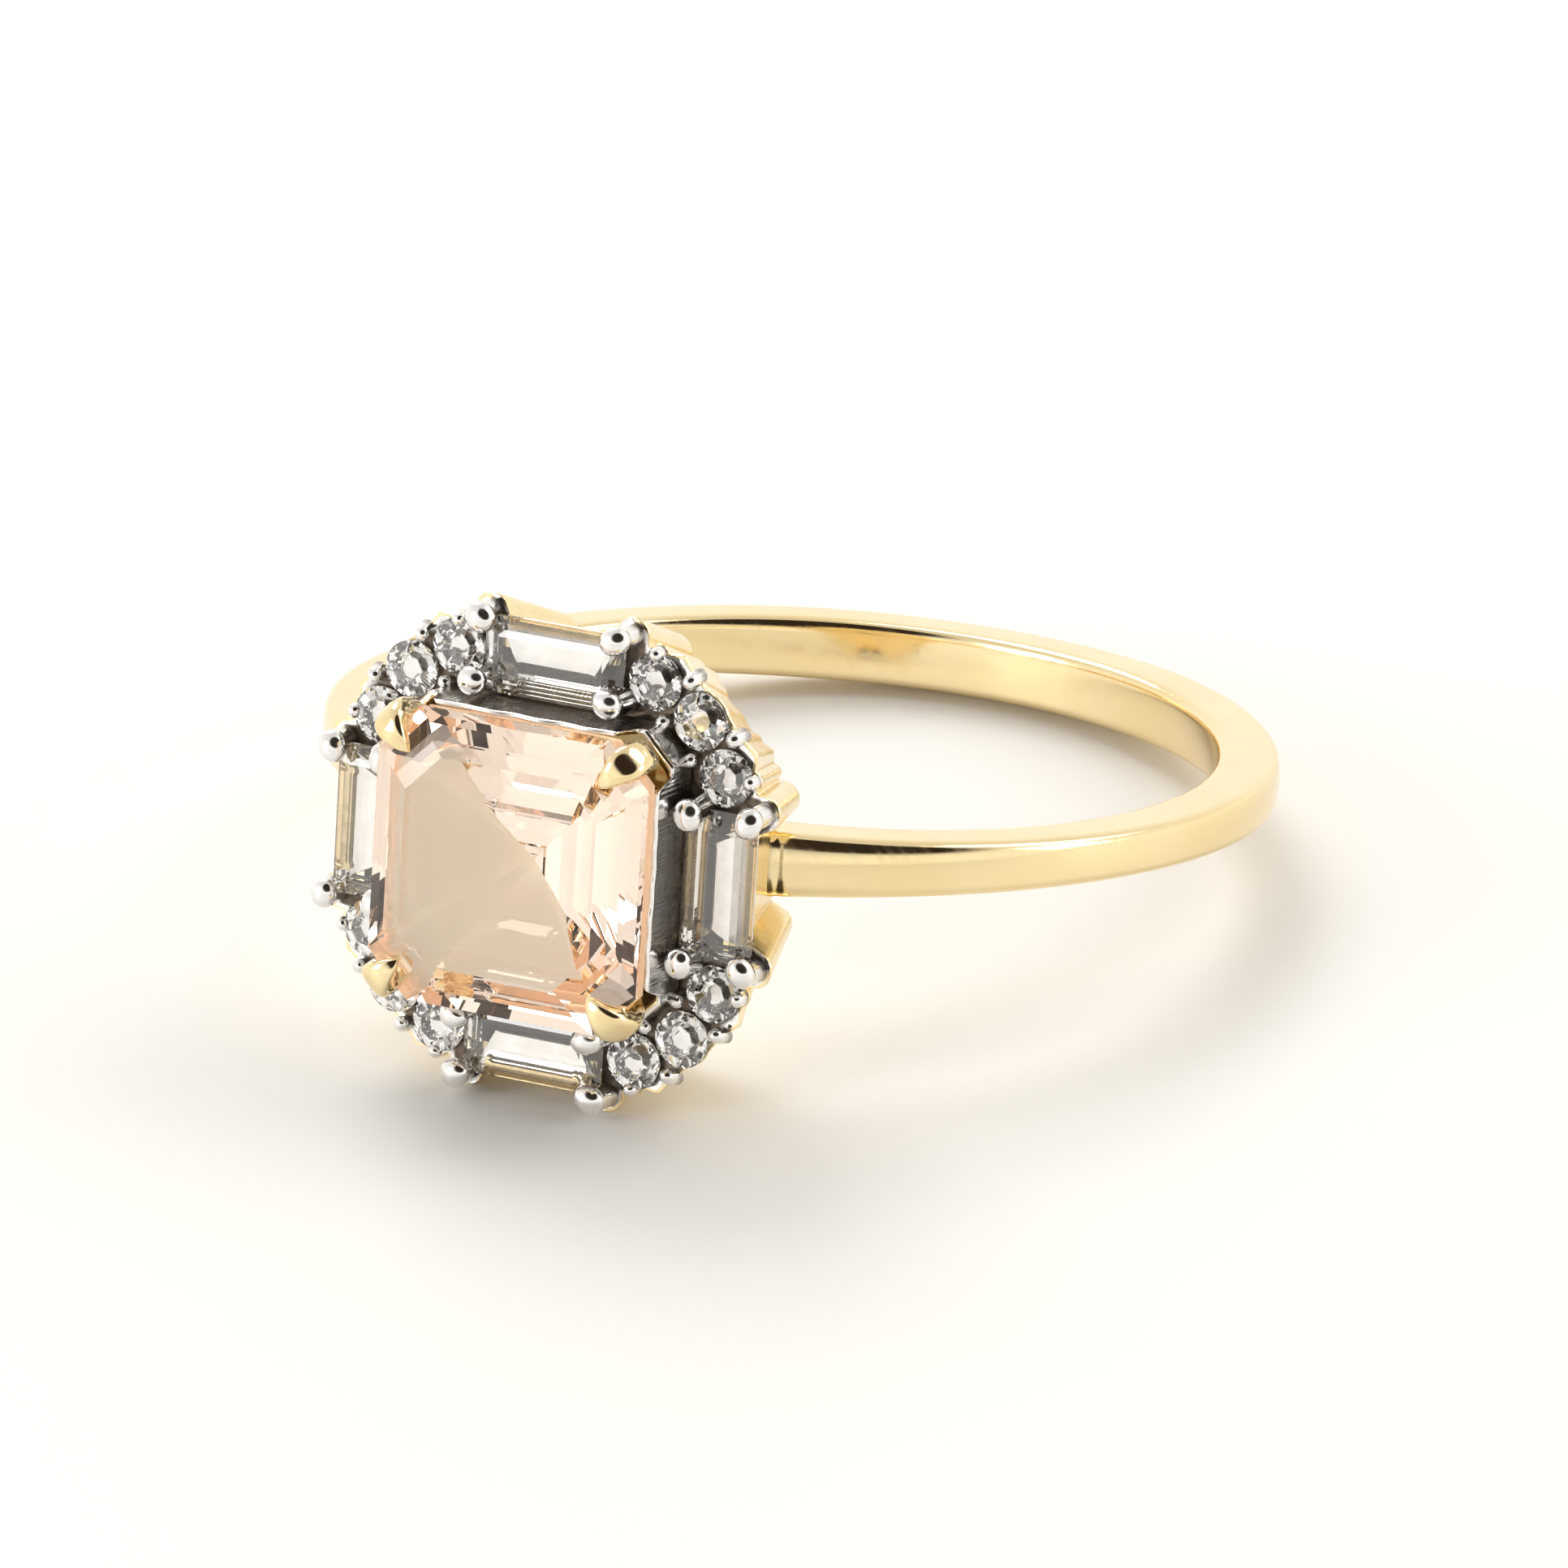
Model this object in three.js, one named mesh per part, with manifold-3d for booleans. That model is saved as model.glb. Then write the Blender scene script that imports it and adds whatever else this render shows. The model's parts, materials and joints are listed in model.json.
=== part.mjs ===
// Engagement ring with a square step-cut centre stone in a halo of baguettes and round stones.
// Units are millimetres. The ring is modelled standing up: the finger runs along Y, the head points
// along +Z and its width lies along X. The exported group lays it on its side, as it rests on a table.
import * as THREE from "three";
import { ConvexGeometry } from "three/addons/geometries/ConvexGeometry.js";
import { mergeVertices } from "three/addons/utils/BufferGeometryUtils.js";
import Module from "manifold-3d";

const wasm = await Module();
wasm.setup();

// Shank
const fingerRadius = 8.5;
const shankThickness = 1.3;
const shankWidth = 0.98; // half way round
const shankWidthAtHead = 1.36;
const shankWidthAtBack = 1.36;
const shankFlare = 2.5; // how late the shank widens on its way to the head
const shankEdge = 0.27; // rounding of the long edges
const backLand = 0.35; // half angle of the even stretch at the back, radians

// Centre stone and its claws
const centreSize = 6.0;
const centreCrop = 0.9;
const centreGirdle = 1.7; // deck to the girdle
const centreCrown = 0.45;
const centrePavilion = 2.7;
const centreTable = 0.667; // share of the stone's size
const centreCulet = 0.015;
const centreEdge = 0.08; // thickness of the girdle
const centreSteps = 3;
const stepCurve = 1.5; // how fast the steps of a stone flatten, away from its girdle
const centreClaw = 0.36;
const clawLean = 0.12; // claw's middle outside the cropped corner, at the girdle
const clawDrawIn = 0.31; // and inside it, at the top of the rim's corner
const clawReach = 0.42; // how far the tip runs in over the stone
const clawBendIn = 0.3; // share of that reach covered where the claw bends
const clawBendUp = 0.72; // and share of the crown's height climbed
const basketSize = 3.7;
const basketCorner = 1.2; // reach across the corners over reach across the flats
const basketWall = 0.42;
const basketHeight = 0.45;

// Rim of the centre seat
const rimStand = 0.05; // rim's face outside the stone's edge
const rimWall = 0.17;
const rimDrop = 0.3; // girdle down to the rim's top
const rimCornerHeight = 0.45;
const rimCornerDip = 0.25; // how far the dip at a corner runs along the sides

// Baguettes and their claws
const baguetteLength = 3.1;
const baguetteWidth = 1.6;
const baguetteGirdle = 0.17; // deck to the underside of the girdle
const baguetteCrown = 0.24;
const baguettePavilion = 0.42;
const baguetteTable = 0.48; // share of the width
const baguetteKeel = 0.12;
const baguetteEdgeHeight = 0.05;
const baguetteCrop = 0.04;
const baguetteSteps = 2;
const seatInset = 0.13; // seat's ledge under a girdle
const baguetteClaw = 0.29;
const clawPastEnd = 0.03; // claw's middle past the end of its baguette
const innerClawHeight = 1.05;
const outerClawHeight = 0.85;

// Round stones and the beads that hold them
const roundSize = 1.16;
const roundGirdle = 0.1;
const roundCrown = 0.18;
const roundPavilion = 0.46;
const roundTable = 0.56; // share of the diameter
const roundCulet = 0.03;
const roundEdge = 0.02;
const roundGap = 0.056;
const roundFromRim = 0.11;
const roundSetIn = 0.03; // end stones stand this much nearer the centre than the baguettes
const beadGrip = 0.122; // how far a bead laps the two stones beside it
const beadHeight = 0.3;
const beadOverStone = 0.33; // share of its radius that a bead stands in over the stones' edges
const endBeadPast = 0.5; // share of its radius that an end bead's middle lies past its stone

// Halo plate and the gallery, the outer wall of the head
const deckHeight = 2.4; // finger to the top of the halo plate
const plateThickness = 0.25;
const plateInset = 0.08;
const sideTuck = 0.18; // flat walls stand in from the baguettes' outer edges
const cornerPast = 0; // slanting walls end under the round stones' outer edges
const galleryWall = 0.4;
const galleryFloor = 0.55;
const galleryDepth = 2.65; // deck to the lower edge of the walls
const sideTaper = 0.065; // share of the plan lost for each millimetre down
const cornerTaper = 0.092;
const cornerSharpness = 4; // how quickly the corner's taper gives way to the side's
const floorHole = 1.4;
const clawColumn = 0.4;
const beadColumn = 0.22;

const clearance = 0.03; // solder or setting gap between two pieces
const cutPast = 1; // how far a cutter runs on past what it cuts

// Sides of the round pieces
const sidesOf = { band: 56, finger: 120, wall: 160, innerWall: 80, hole: 32, seat: 16, claw: 10, bead: 8 };

// Levels, from the centre of the finger
const deck = fingerRadius + deckHeight;
const plateUnder = deck - plateThickness;
const galleryTop = plateUnder - clearance;
const floorTop = fingerRadius + galleryFloor;
const shankOuter = fingerRadius + shankThickness;
const galleryBottom = deck - galleryDepth;

// Plan of the head, worked outwards from the centre stone
const cornerReach = (centreSize - centreCrop) / Math.SQRT2;
const wireReach = cornerReach - clawDrawIn;
const rimHeight = centreGirdle - rimDrop;
const rimSide = centreSize / 2 + rimStand;
const rimDiagonal = wireReach + centreClaw + clearance + rimWall;
const rimCornerStart = rimDiagonal * Math.SQRT2 - rimSide - rimCornerDip;
const baguetteOut = rimSide + clearance + baguetteWidth / 2;
const baguetteEdge = baguetteOut + baguetteWidth / 2;
const basketDiagonal = (basketSize / 2) * basketCorner;
const endRound = { x: baguetteLength / 2 + roundGap + roundSize / 2, y: baguetteOut - roundSetIn };
const middleRoundReach = Math.max(clearOfEnds(), rimDiagonal + roundFromRim + roundSize / 2);
const gallerySide = baguetteEdge - sideTuck;
const galleryDiagonal = middleRoundReach + roundSize / 2 + cornerPast;

// Distance out along the diagonal at which a round stone is one spacing from the two end stones.
function clearOfEnds() {
  const halfGap = (endRound.y - endRound.x) / Math.SQRT2;
  const chord = (endRound.x + endRound.y) / Math.SQRT2;
  const spacing = roundSize + roundGap;
  return chord + Math.sqrt(Math.max(spacing ** 2 - halfGap ** 2, 0));
}

const yellowGold = () => new THREE.MeshStandardMaterial({ color: 0xe2b660, metalness: 1, roughness: 0.16 });
const whiteGold = () => new THREE.MeshStandardMaterial({ color: 0xe4e2de, metalness: 1, roughness: 0.14 });
const peachStone = () => new THREE.MeshStandardMaterial({ color: 0xf0c6a6, metalness: 0, roughness: 0.03 });
const clearStone = () => new THREE.MeshStandardMaterial({ color: 0xe9e7e6, metalness: 0, roughness: 0.02 });

// Solids

function toSolid(geometry) {
  const bare = geometry.clone();
  bare.deleteAttribute("normal");
  bare.deleteAttribute("uv");
  const merged = mergeVertices(bare, 1e-4);
  return new wasm.Manifold(
    new wasm.Mesh({
      numProp: 3,
      vertProperties: new Float32Array(merged.attributes.position.array),
      triVerts: new Uint32Array(merged.index.array),
    }),
  );
}

function toGeometry(solid) {
  const { vertProperties, triVerts } = solid.getMesh();
  const geometry = new THREE.BufferGeometry();
  geometry.setAttribute("position", new THREE.BufferAttribute(vertProperties, 3));
  geometry.setIndex(new THREE.BufferAttribute(triVerts, 1));
  geometry.computeVertexNormals();
  return geometry;
}

const joined = (solids) => solids.reduce((sum, solid) => sum.add(solid));
const cutBy = (solid, cutters) => cutters.reduce((left, cutter) => left.subtract(cutter), solid);

function cylinderAt(radius, low, high, x, y, sides) {
  const geometry = new THREE.CylinderGeometry(radius, radius, high - low, sides);
  return geometry.rotateX(Math.PI / 2).translate(x, y, (low + high) / 2);
}

function boxAt(sizeX, sizeY, low, high, x, y) {
  return new THREE.BoxGeometry(sizeX, sizeY, high - low).translate(x, y, (low + high) / 2);
}

// A round-topped post: a cylinder from its foot with a dome on it.
function post(radius, foot, middle, x, y, sides) {
  const profile = [new THREE.Vector2(0, foot), new THREE.Vector2(radius, foot)];
  const domeSteps = 4;
  for (let i = 0; i < domeSteps; i++) {
    const turn = (i / domeSteps) * (Math.PI / 2);
    profile.push(new THREE.Vector2(radius * Math.cos(turn), middle + radius * Math.sin(turn)));
  }
  profile.push(new THREE.Vector2(0, middle + radius));
  return new THREE.LatheGeometry(profile, sides).rotateX(Math.PI / 2).translate(x, y, 0);
}

// Outlines

// Distance from the centre to an eight-sided outline with flats at side and slants at diagonal.
function octagonRadius(angle, side, diagonal) {
  const c = Math.abs(Math.cos(angle));
  const s = Math.abs(Math.sin(angle));
  return Math.min(side / Math.max(c, s), (diagonal * Math.SQRT2) / (c + s));
}

// Distance from the centre to the far side of a round column, or 0 where the ray misses it.
function columnRadius(angle, column) {
  const reach = Math.hypot(column.x, column.y);
  const off = angle - Math.atan2(column.y, column.x);
  const across = reach * Math.sin(off);
  if (Math.cos(off) < 0 || Math.abs(across) > column.radius) return 0;
  return reach * Math.cos(off) + Math.sqrt(column.radius ** 2 - across ** 2);
}

function outline(count, radiusAt) {
  const points = [];
  for (let i = 0; i < count; i++) {
    const angle = ((i + 0.5) / count) * 2 * Math.PI;
    points.push(new THREE.Vector2(Math.cos(angle), Math.sin(angle)).multiplyScalar(radiusAt(angle)));
  }
  return points;
}

function octagonPoints(side, diagonal) {
  const short = diagonal * Math.SQRT2 - side;
  const quarter = [new THREE.Vector2(side, -short), new THREE.Vector2(side, short)];
  const points = [];
  for (let i = 0; i < 4; i++) {
    quarter.forEach((p) => points.push(p.clone().rotateAround(new THREE.Vector2(), (i * Math.PI) / 2)));
  }
  return points;
}

function extruded(points, low, high) {
  const options = { depth: high - low, bevelEnabled: false };
  return new THREE.ExtrudeGeometry(new THREE.Shape(points), options).translate(0, 0, low);
}

// Draws the plan in towards the finger, the slanting corners faster than the flat sides.
function tapered(geometry) {
  const position = geometry.attributes.position;
  for (let i = 0; i < position.count; i++) {
    const angle = Math.atan2(position.getY(i), position.getX(i));
    const taper = THREE.MathUtils.lerp(sideTaper, cornerTaper, Math.sin(2 * angle) ** cornerSharpness);
    const share = 1 - taper * (deck - position.getZ(i));
    position.setXY(i, position.getX(i) * share, position.getY(i) * share);
  }
  return geometry;
}

// Places of the repeated pieces

const quarters = [
  { name: "north", turn: 0 },
  { name: "west", turn: Math.PI / 2 },
  { name: "south", turn: Math.PI },
  { name: "east", turn: -Math.PI / 2 },
];

function turned(x, y, turn) {
  return {
    x: x * Math.cos(turn) - y * Math.sin(turn),
    y: x * Math.sin(turn) + y * Math.cos(turn),
  };
}

const clawAlong = baguetteLength / 2 + clawPastEnd;
const innerClawOut = rimSide + clearance + baguetteClaw;
const clawPlaces = [
  { name: "inner_left", x: -clawAlong, y: innerClawOut, height: innerClawHeight },
  { name: "inner_right", x: clawAlong, y: innerClawOut, height: innerClawHeight },
  { name: "outer_left", x: -clawAlong, y: baguetteEdge, height: outerClawHeight },
  { name: "outer_right", x: clawAlong, y: baguetteEdge, height: outerClawHeight },
];

// The three round stones of the corner between +Y and +X, from the north baguette to the east one.
const middleRoundOut = middleRoundReach / Math.SQRT2;
const roundPlaces = [
  { name: "first", x: endRound.x, y: endRound.y },
  { name: "middle", x: middleRoundOut, y: middleRoundOut },
  { name: "last", x: endRound.y, y: endRound.x },
];
const [firstRound, middleRound, lastRound] = roundPlaces;
const roundSpacing = Math.hypot(middleRound.x - firstRound.x, middleRound.y - firstRound.y);
const beadRadius = (roundSpacing - roundSize) / 2 + beadGrip;

// Beads stand on both sides of each joint between two round stones, and outside the end stones.
function besideJoint(a, b, side) {
  const alongX = (b.x - a.x) / roundSpacing;
  const alongY = (b.y - a.y) / roundSpacing;
  const reach = side * (roundSize / 2 - beadRadius * beadOverStone);
  return { x: (a.x + b.x) / 2 - alongY * reach, y: (a.y + b.y) / 2 + alongX * reach };
}

function outsideEnd(stone) {
  const reach = roundSize / 2 + beadRadius * endBeadPast;
  const outwards = Math.abs(stone.x) > Math.abs(stone.y) ? { x: 1, y: 0 } : { x: 0, y: 1 };
  return { x: stone.x + outwards.x * reach, y: stone.y + outwards.y * reach };
}

const outerBeads = [besideJoint(firstRound, middleRound, 1), besideJoint(middleRound, lastRound, 1)];
const innerBeads = [besideJoint(firstRound, middleRound, -1), besideJoint(middleRound, lastRound, -1)];
const endBeads = [outsideEnd(firstRound), outsideEnd(lastRound)];

// Stones

// Steps of a stone from its girdle to its table or culet: the share of the girdle's size and the height of
// each, evenly spaced inwards and flatter at every step.
function stepsTo(count, lastShare, girdleHeight, lastHeight) {
  return Array.from({ length: count + 1 }, (_, i) => {
    const inwards = i / count;
    const climbed = 1 - (1 - inwards) ** stepCurve;
    return {
      share: THREE.MathUtils.lerp(1, lastShare, inwards),
      height: THREE.MathUtils.lerp(girdleHeight, lastHeight, climbed),
    };
  });
}

// The space between cropped rectangles, one over the other.
function stepCut(levels, x, y, girdle, turn) {
  const points = [];
  for (const { halfX, halfY, crop, height } of levels) {
    for (const signX of [-1, 1]) {
      for (const signY of [-1, 1]) {
        points.push(new THREE.Vector3(signX * (halfX - crop), signY * halfY, height));
        points.push(new THREE.Vector3(signX * halfX, signY * (halfY - crop), height));
      }
    }
  }
  return new ConvexGeometry(points).translate(x, y, girdle).rotateZ(turn);
}

function centreStone(grown) {
  const half = centreSize / 2 + grown;
  const edge = centreEdge / 2 + grown;
  const levels = [
    ...stepsTo(centreSteps, centreTable, edge, centreCrown + grown),
    ...stepsTo(centreSteps, centreCulet, -edge, -centrePavilion - grown),
  ].map(({ share, height }) => {
    return { halfX: half * share, halfY: half * share, crop: centreCrop * share, height };
  });
  return stepCut(levels, 0, 0, deck + centreGirdle, 0);
}

function baguette(turn, grown) {
  const length = baguetteLength / 2 + grown;
  const width = baguetteWidth / 2 + grown;
  const levels = [
    ...stepsTo(baguetteSteps, baguetteTable, baguetteEdgeHeight + grown, baguetteCrown + grown),
    ...stepsTo(baguetteSteps, baguetteKeel, -grown, -baguettePavilion - grown),
  ].map(({ share, height }) => {
    const inset = width * (1 - share);
    return { halfX: length - inset, halfY: width - inset, crop: baguetteCrop, height };
  });
  return stepCut(levels, 0, baguetteOut, deck + baguetteGirdle, turn);
}

function ringOfPoints(count, radius, height, shift) {
  const points = [];
  for (let i = 0; i < count; i++) {
    const angle = ((i + shift) / count) * 2 * Math.PI;
    points.push(new THREE.Vector3(radius * Math.cos(angle), radius * Math.sin(angle), height));
  }
  return points;
}

// A brilliant: eight sides at the table and at the middle of the crown and pavilion, sixteen at the girdle.
function roundStone(place, turn, grown) {
  const radius = roundSize / 2 + grown;
  const crown = stepsTo(2, roundTable, roundEdge + grown, roundCrown + grown);
  const pavilion = stepsTo(2, roundCulet, -grown, -roundPavilion - grown);
  const points = [crown, pavilion].flatMap(([girdle, between, last]) => [
    ...ringOfPoints(16, radius * girdle.share, girdle.height, 0),
    ...ringOfPoints(8, radius * between.share, between.height, 0.5),
    ...ringOfPoints(8, radius * last.share, last.height, 0),
  ]);
  return new ConvexGeometry(points).translate(place.x, place.y, deck + roundGirdle).rotateZ(turn);
}

// Head

const atQuarters = (make) => quarters.flatMap(({ turn }) => make(turn));

function galleryColumns() {
  return atQuarters((turn) => {
    const claws = clawPlaces
      .filter((claw) => claw.name.startsWith("outer"))
      .map((claw) => ({ ...turned(claw.x, claw.y, turn), radius: clawColumn }));
    const beads = [...outerBeads, ...endBeads].map((bead) => {
      return { ...turned(bead.x, bead.y, turn), radius: beadColumn };
    });
    return [...claws, ...beads];
  });
}

function galleryOutline(inset) {
  const columns = galleryColumns();
  return outline(sidesOf.wall, (angle) => {
    const wall = octagonRadius(angle, gallerySide, galleryDiagonal);
    return Math.max(wall, ...columns.map((column) => columnRadius(angle, column))) - inset;
  });
}

function finger() {
  const length = 2 * (galleryDiagonal + cutPast);
  return toSolid(new THREE.CylinderGeometry(fingerRadius, fingerRadius, length, sidesOf.finger));
}

// The strip of the gallery's floor that carries the line of the shank under the head.
function saddle() {
  const reach = shankOpening() - clearance / fingerRadius;
  const strip = new THREE.Shape();
  strip.absarc(0, 0, floorTop, Math.PI / 2 - reach, Math.PI / 2 + reach, false);
  strip.absarc(0, 0, fingerRadius - galleryFloor, Math.PI / 2 + reach, Math.PI / 2 - reach, true);
  const options = { depth: shankWidthAtHead, curveSegments: 20, bevelEnabled: false };
  const geometry = new THREE.ExtrudeGeometry(strip, options);
  return toSolid(geometry.translate(0, 0, -shankWidthAtHead / 2).rotateX(Math.PI / 2));
}

function gallery() {
  const outside = toSolid(tapered(extruded(galleryOutline(0), galleryBottom, galleryTop)));
  const inner = outline(sidesOf.innerWall, (angle) => {
    return octagonRadius(angle, gallerySide - galleryWall, galleryDiagonal - galleryWall);
  });
  const inside = toSolid(tapered(extruded(inner, floorTop, deck)));
  const hole = toSolid(cylinderAt(floorHole, 0, deck, 0, 0, sidesOf.hole));
  return cutBy(outside.add(saddle()), [inside, hole, finger()]);
}

// The beads of one corner, cut back from the stones they hold and from the claws beside them.
function cornerBeads(turn) {
  const foot = deck - plateThickness / 2;
  const beads = [...outerBeads, ...innerBeads, ...endBeads].map((bead) => {
    return post(beadRadius, foot, deck + beadHeight - beadRadius, bead.x, bead.y, sidesOf.bead);
  });
  const stones = roundPlaces.map((place) => roundStone(place, 0, clearance));
  const northClaws = clawPlaces.filter((claw) => claw.x > 0).map((claw) => clawGeometry(claw, 0, clearance));
  const eastClaws = clawPlaces
    .filter((claw) => claw.x < 0)
    .map((claw) => clawGeometry(claw, -Math.PI / 2, clearance));
  const cut = cutBy(joined(beads.map(toSolid)), [...stones, ...northClaws, ...eastClaws].map(toSolid));
  return cut.rotate([0, 0, THREE.MathUtils.radToDeg(turn)]);
}

function haloPlate() {
  const opening = octagonPoints(rimSide - rimWall, rimDiagonal - rimWall);
  const plate = toSolid(tapered(extruded(galleryOutline(plateInset), plateUnder, deck)));
  const seats = atQuarters((turn) => [
    boxAt(
      baguetteLength - 2 * seatInset,
      baguetteWidth - 2 * seatInset,
      plateUnder - cutPast,
      deck + cutPast,
      0,
      baguetteOut,
    ).rotateZ(turn),
    ...roundPlaces.map((place) => {
      const radius = roundSize / 2 - seatInset / 2;
      const hole = cylinderAt(radius, plateUnder - cutPast, deck + cutPast, place.x, place.y, sidesOf.seat);
      return hole.rotateZ(turn);
    }),
  ]).map(toSolid);
  const rimFoot = octagonPoints(rimSide + clearance, rimDiagonal + clearance);
  const rimSpace = toSolid(extruded(rimFoot, deck, deck + rimHeight + cutPast));
  const middleHole = toSolid(extruded(opening, plateUnder - cutPast, deck + cutPast));
  const deckPlate = cutBy(plate, [middleHole, ...seats]);
  const beads = quarters.map(({ turn }) => cornerBeads(turn).subtract(rimSpace));
  return joined([deckPlate, ...beads]);
}

function centreRim() {
  const low = deck + clearance;
  const high = deck + rimHeight;
  const outside = toSolid(extruded(octagonPoints(rimSide, rimDiagonal), low, high));
  const opening = octagonPoints(rimSide - rimWall, rimDiagonal - rimWall);
  const inside = toSolid(extruded(opening, low - cutPast, high + cutPast));
  const dips = atQuarters((turn) => {
    const middle = rimCornerStart + centreSize / 2;
    const dip = boxAt(centreSize, centreSize, deck + rimCornerHeight, high + cutPast, middle, middle);
    return [dip.rotateZ(turn)];
  }).map(toSolid);
  return cutBy(outside, [inside, ...dips, toSolid(centreStone(clearance))]);
}

function centreBasket() {
  const low = floorTop + clearance;
  const high = low + basketHeight;
  const half = basketSize / 2;
  const ring = (size, from, to) => toSolid(extruded(octagonPoints(size, size * basketCorner), from, to));
  return ring(half, low, high).subtract(ring(half - basketWall, low - cutPast, high + cutPast));
}

// A claw's wire rises from the basket, outside the cropped corner, and bends in over the crown.
function centreClawPath() {
  const girdle = deck + centreGirdle;
  const foot = floorTop + 2 * clearance + basketHeight + centreClaw;
  const out = cornerReach + clawLean;
  const points = [
    [basketDiagonal, foot],
    [wireReach, deck + rimCornerHeight],
    [out, girdle - centreClaw],
    [out, girdle],
    [out - clawReach * clawBendIn, girdle + centreCrown * clawBendUp],
    [out - clawReach, girdle + centreCrown],
  ];
  return points.map(([reach, height]) => {
    return new THREE.Vector3(reach / Math.SQRT2, reach / Math.SQRT2, height);
  });
}

function centreClawSolid(turn, grown) {
  const radius = centreClaw + grown;
  const path = centreClawPath();
  const section = new THREE.Shape().absarc(0, 0, radius, 0, 2 * Math.PI);
  const wire = new THREE.ExtrudeGeometry(section, {
    steps: 10,
    curveSegments: sidesOf.claw / 2,
    bevelEnabled: false,
    extrudePath: new THREE.CatmullRomCurve3(path),
  });
  const ball = new THREE.SphereGeometry(radius, sidesOf.claw, sidesOf.claw / 2 + 1);
  const tip = ball.translate(...path.at(-1).toArray());
  return joined([toSolid(wire.rotateZ(turn)), toSolid(tip.rotateZ(turn))]);
}

function clawGeometry(claw, turn, grown) {
  const foot = deck + clearance - grown;
  const radius = baguetteClaw + grown;
  return post(radius, foot, deck + claw.height - baguetteClaw, claw.x, claw.y, sidesOf.claw).rotateZ(turn);
}

// Shank

// The band is an open ring whose ends stand a solder gap away from the gallery's two side walls.
function shankWidthAt(angle) {
  const fromBack = Math.abs(angle);
  if (fromBack < backLand) return shankWidthAtBack;
  if (fromBack < Math.PI / 2) {
    const share = (fromBack - backLand) / (Math.PI / 2 - backLand);
    return THREE.MathUtils.lerp(shankWidthAtBack, shankWidth, THREE.MathUtils.smoothstep(share, 0, 1));
  }
  const share = (fromBack - Math.PI / 2) / (Math.PI / 2 - shankOpening());
  return THREE.MathUtils.lerp(shankWidth, shankWidthAtHead, share ** shankFlare);
}

// Half the angle of the opening that the head closes: the shank's ends clear the foot of the walls.
function shankOpening() {
  const wallFoot = gallerySide * (1 - sideTaper * galleryDepth);
  return Math.atan2(wallFoot + clearance, galleryBottom);
}

function shank() {
  const opening = shankOpening() + shankEdge / fingerRadius; // the rounding grows the ends back again
  const start = Math.PI / 2 + opening;
  const end = Math.PI / 2 - opening + 2 * Math.PI;
  const band = new THREE.Shape();
  band.absarc(0, 0, shankOuter - shankEdge, start, end, false);
  band.absarc(0, 0, fingerRadius + shankEdge, end, start, true);
  const geometry = new THREE.ExtrudeGeometry(band, {
    depth: shankWidth - 2 * shankEdge,
    curveSegments: sidesOf.band,
    bevelSize: shankEdge,
    bevelThickness: shankEdge,
    bevelSegments: 3,
  });
  geometry.translate(0, 0, shankEdge - shankWidth / 2).rotateX(Math.PI / 2);
  const position = geometry.attributes.position;
  for (let i = 0; i < position.count; i++) {
    const angle = Math.atan2(position.getX(i), -position.getZ(i));
    position.setY(i, (position.getY(i) * shankWidthAt(angle)) / shankWidth);
  }
  return toSolid(geometry);
}

const ring = new THREE.Group();

function addPiece(name, solid, material) {
  const mesh = new THREE.Mesh(toGeometry(solid), material);
  mesh.name = name;
  ring.add(mesh);
}

const cornerNames = ["north_east", "north_west", "south_west", "south_east"];
const centre = toSolid(centreStone(clearance));

addPiece("shank", shank(), yellowGold());
addPiece("gallery", gallery(), yellowGold());
addPiece("halo_plate", haloPlate(), whiteGold());
addPiece("centre_rim", centreRim(), whiteGold());
addPiece("centre_basket", centreBasket(), yellowGold());
addPiece("centre_stone", toSolid(centreStone(0)), peachStone());
quarters.forEach(({ name, turn }, i) => {
  addPiece("centre_claw_" + cornerNames[i], centreClawSolid(turn, 0).subtract(centre), yellowGold());
  addPiece("baguette_" + name, toSolid(baguette(turn, 0)), clearStone());
  for (const place of roundPlaces) {
    const stone = toSolid(roundStone(place, turn, 0));
    addPiece("round_stone_" + cornerNames[i] + "_" + place.name, stone, clearStone());
  }
  for (const claw of clawPlaces) {
    const shape = toSolid(clawGeometry(claw, turn, 0));
    const stones = [toSolid(baguette(turn, clearance))];
    for (const place of roundPlaces) {
      for (const other of quarters) stones.push(toSolid(roundStone(place, other.turn, clearance)));
    }
    addPiece("baguette_claw_" + name + "_" + claw.name, cutBy(shape, stones), whiteGold());
  }
});

// Resting: the ring tips back about the lowest point of its head until the shank meets the table.
function restingTilt(points) {
  let contact = points.reduce((low, p) => (p.y < low.y ? p : low));
  let tilt = 0;
  while (contact.z > 0) {
    const behind = points.filter((p) => p.z < contact.z - clearance);
    const tiltTo = (p) => Math.atan2(p.y - contact.y, contact.z - p.z);
    const next = behind.reduce((first, p) => (tiltTo(p) < tiltTo(first) ? p : first));
    tilt = tiltTo(next);
    contact = next;
  }
  return tilt;
}

function cornerPoints(group) {
  const points = [];
  group.traverse((piece) => {
    if (!piece.isMesh) return;
    const position = piece.geometry.attributes.position;
    for (let i = 0; i < position.count; i++) {
      points.push(new THREE.Vector3().fromBufferAttribute(position, i));
    }
  });
  return points;
}

ring.rotation.x = Math.PI / 2 - restingTilt(cornerPoints(ring));
ring.updateMatrixWorld(true);
const box = new THREE.Box3().setFromObject(ring, true);
const middle = box.getCenter(new THREE.Vector3());
ring.position.set(-middle.x, -middle.y, -box.min.z);

const engagementRing = new THREE.Group();
engagementRing.add(ring);

export default engagementRing;
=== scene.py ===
import json
import math
from itertools import combinations

import bmesh
import bpy
import numpy as np
from mathutils import Matrix, Vector


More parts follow.
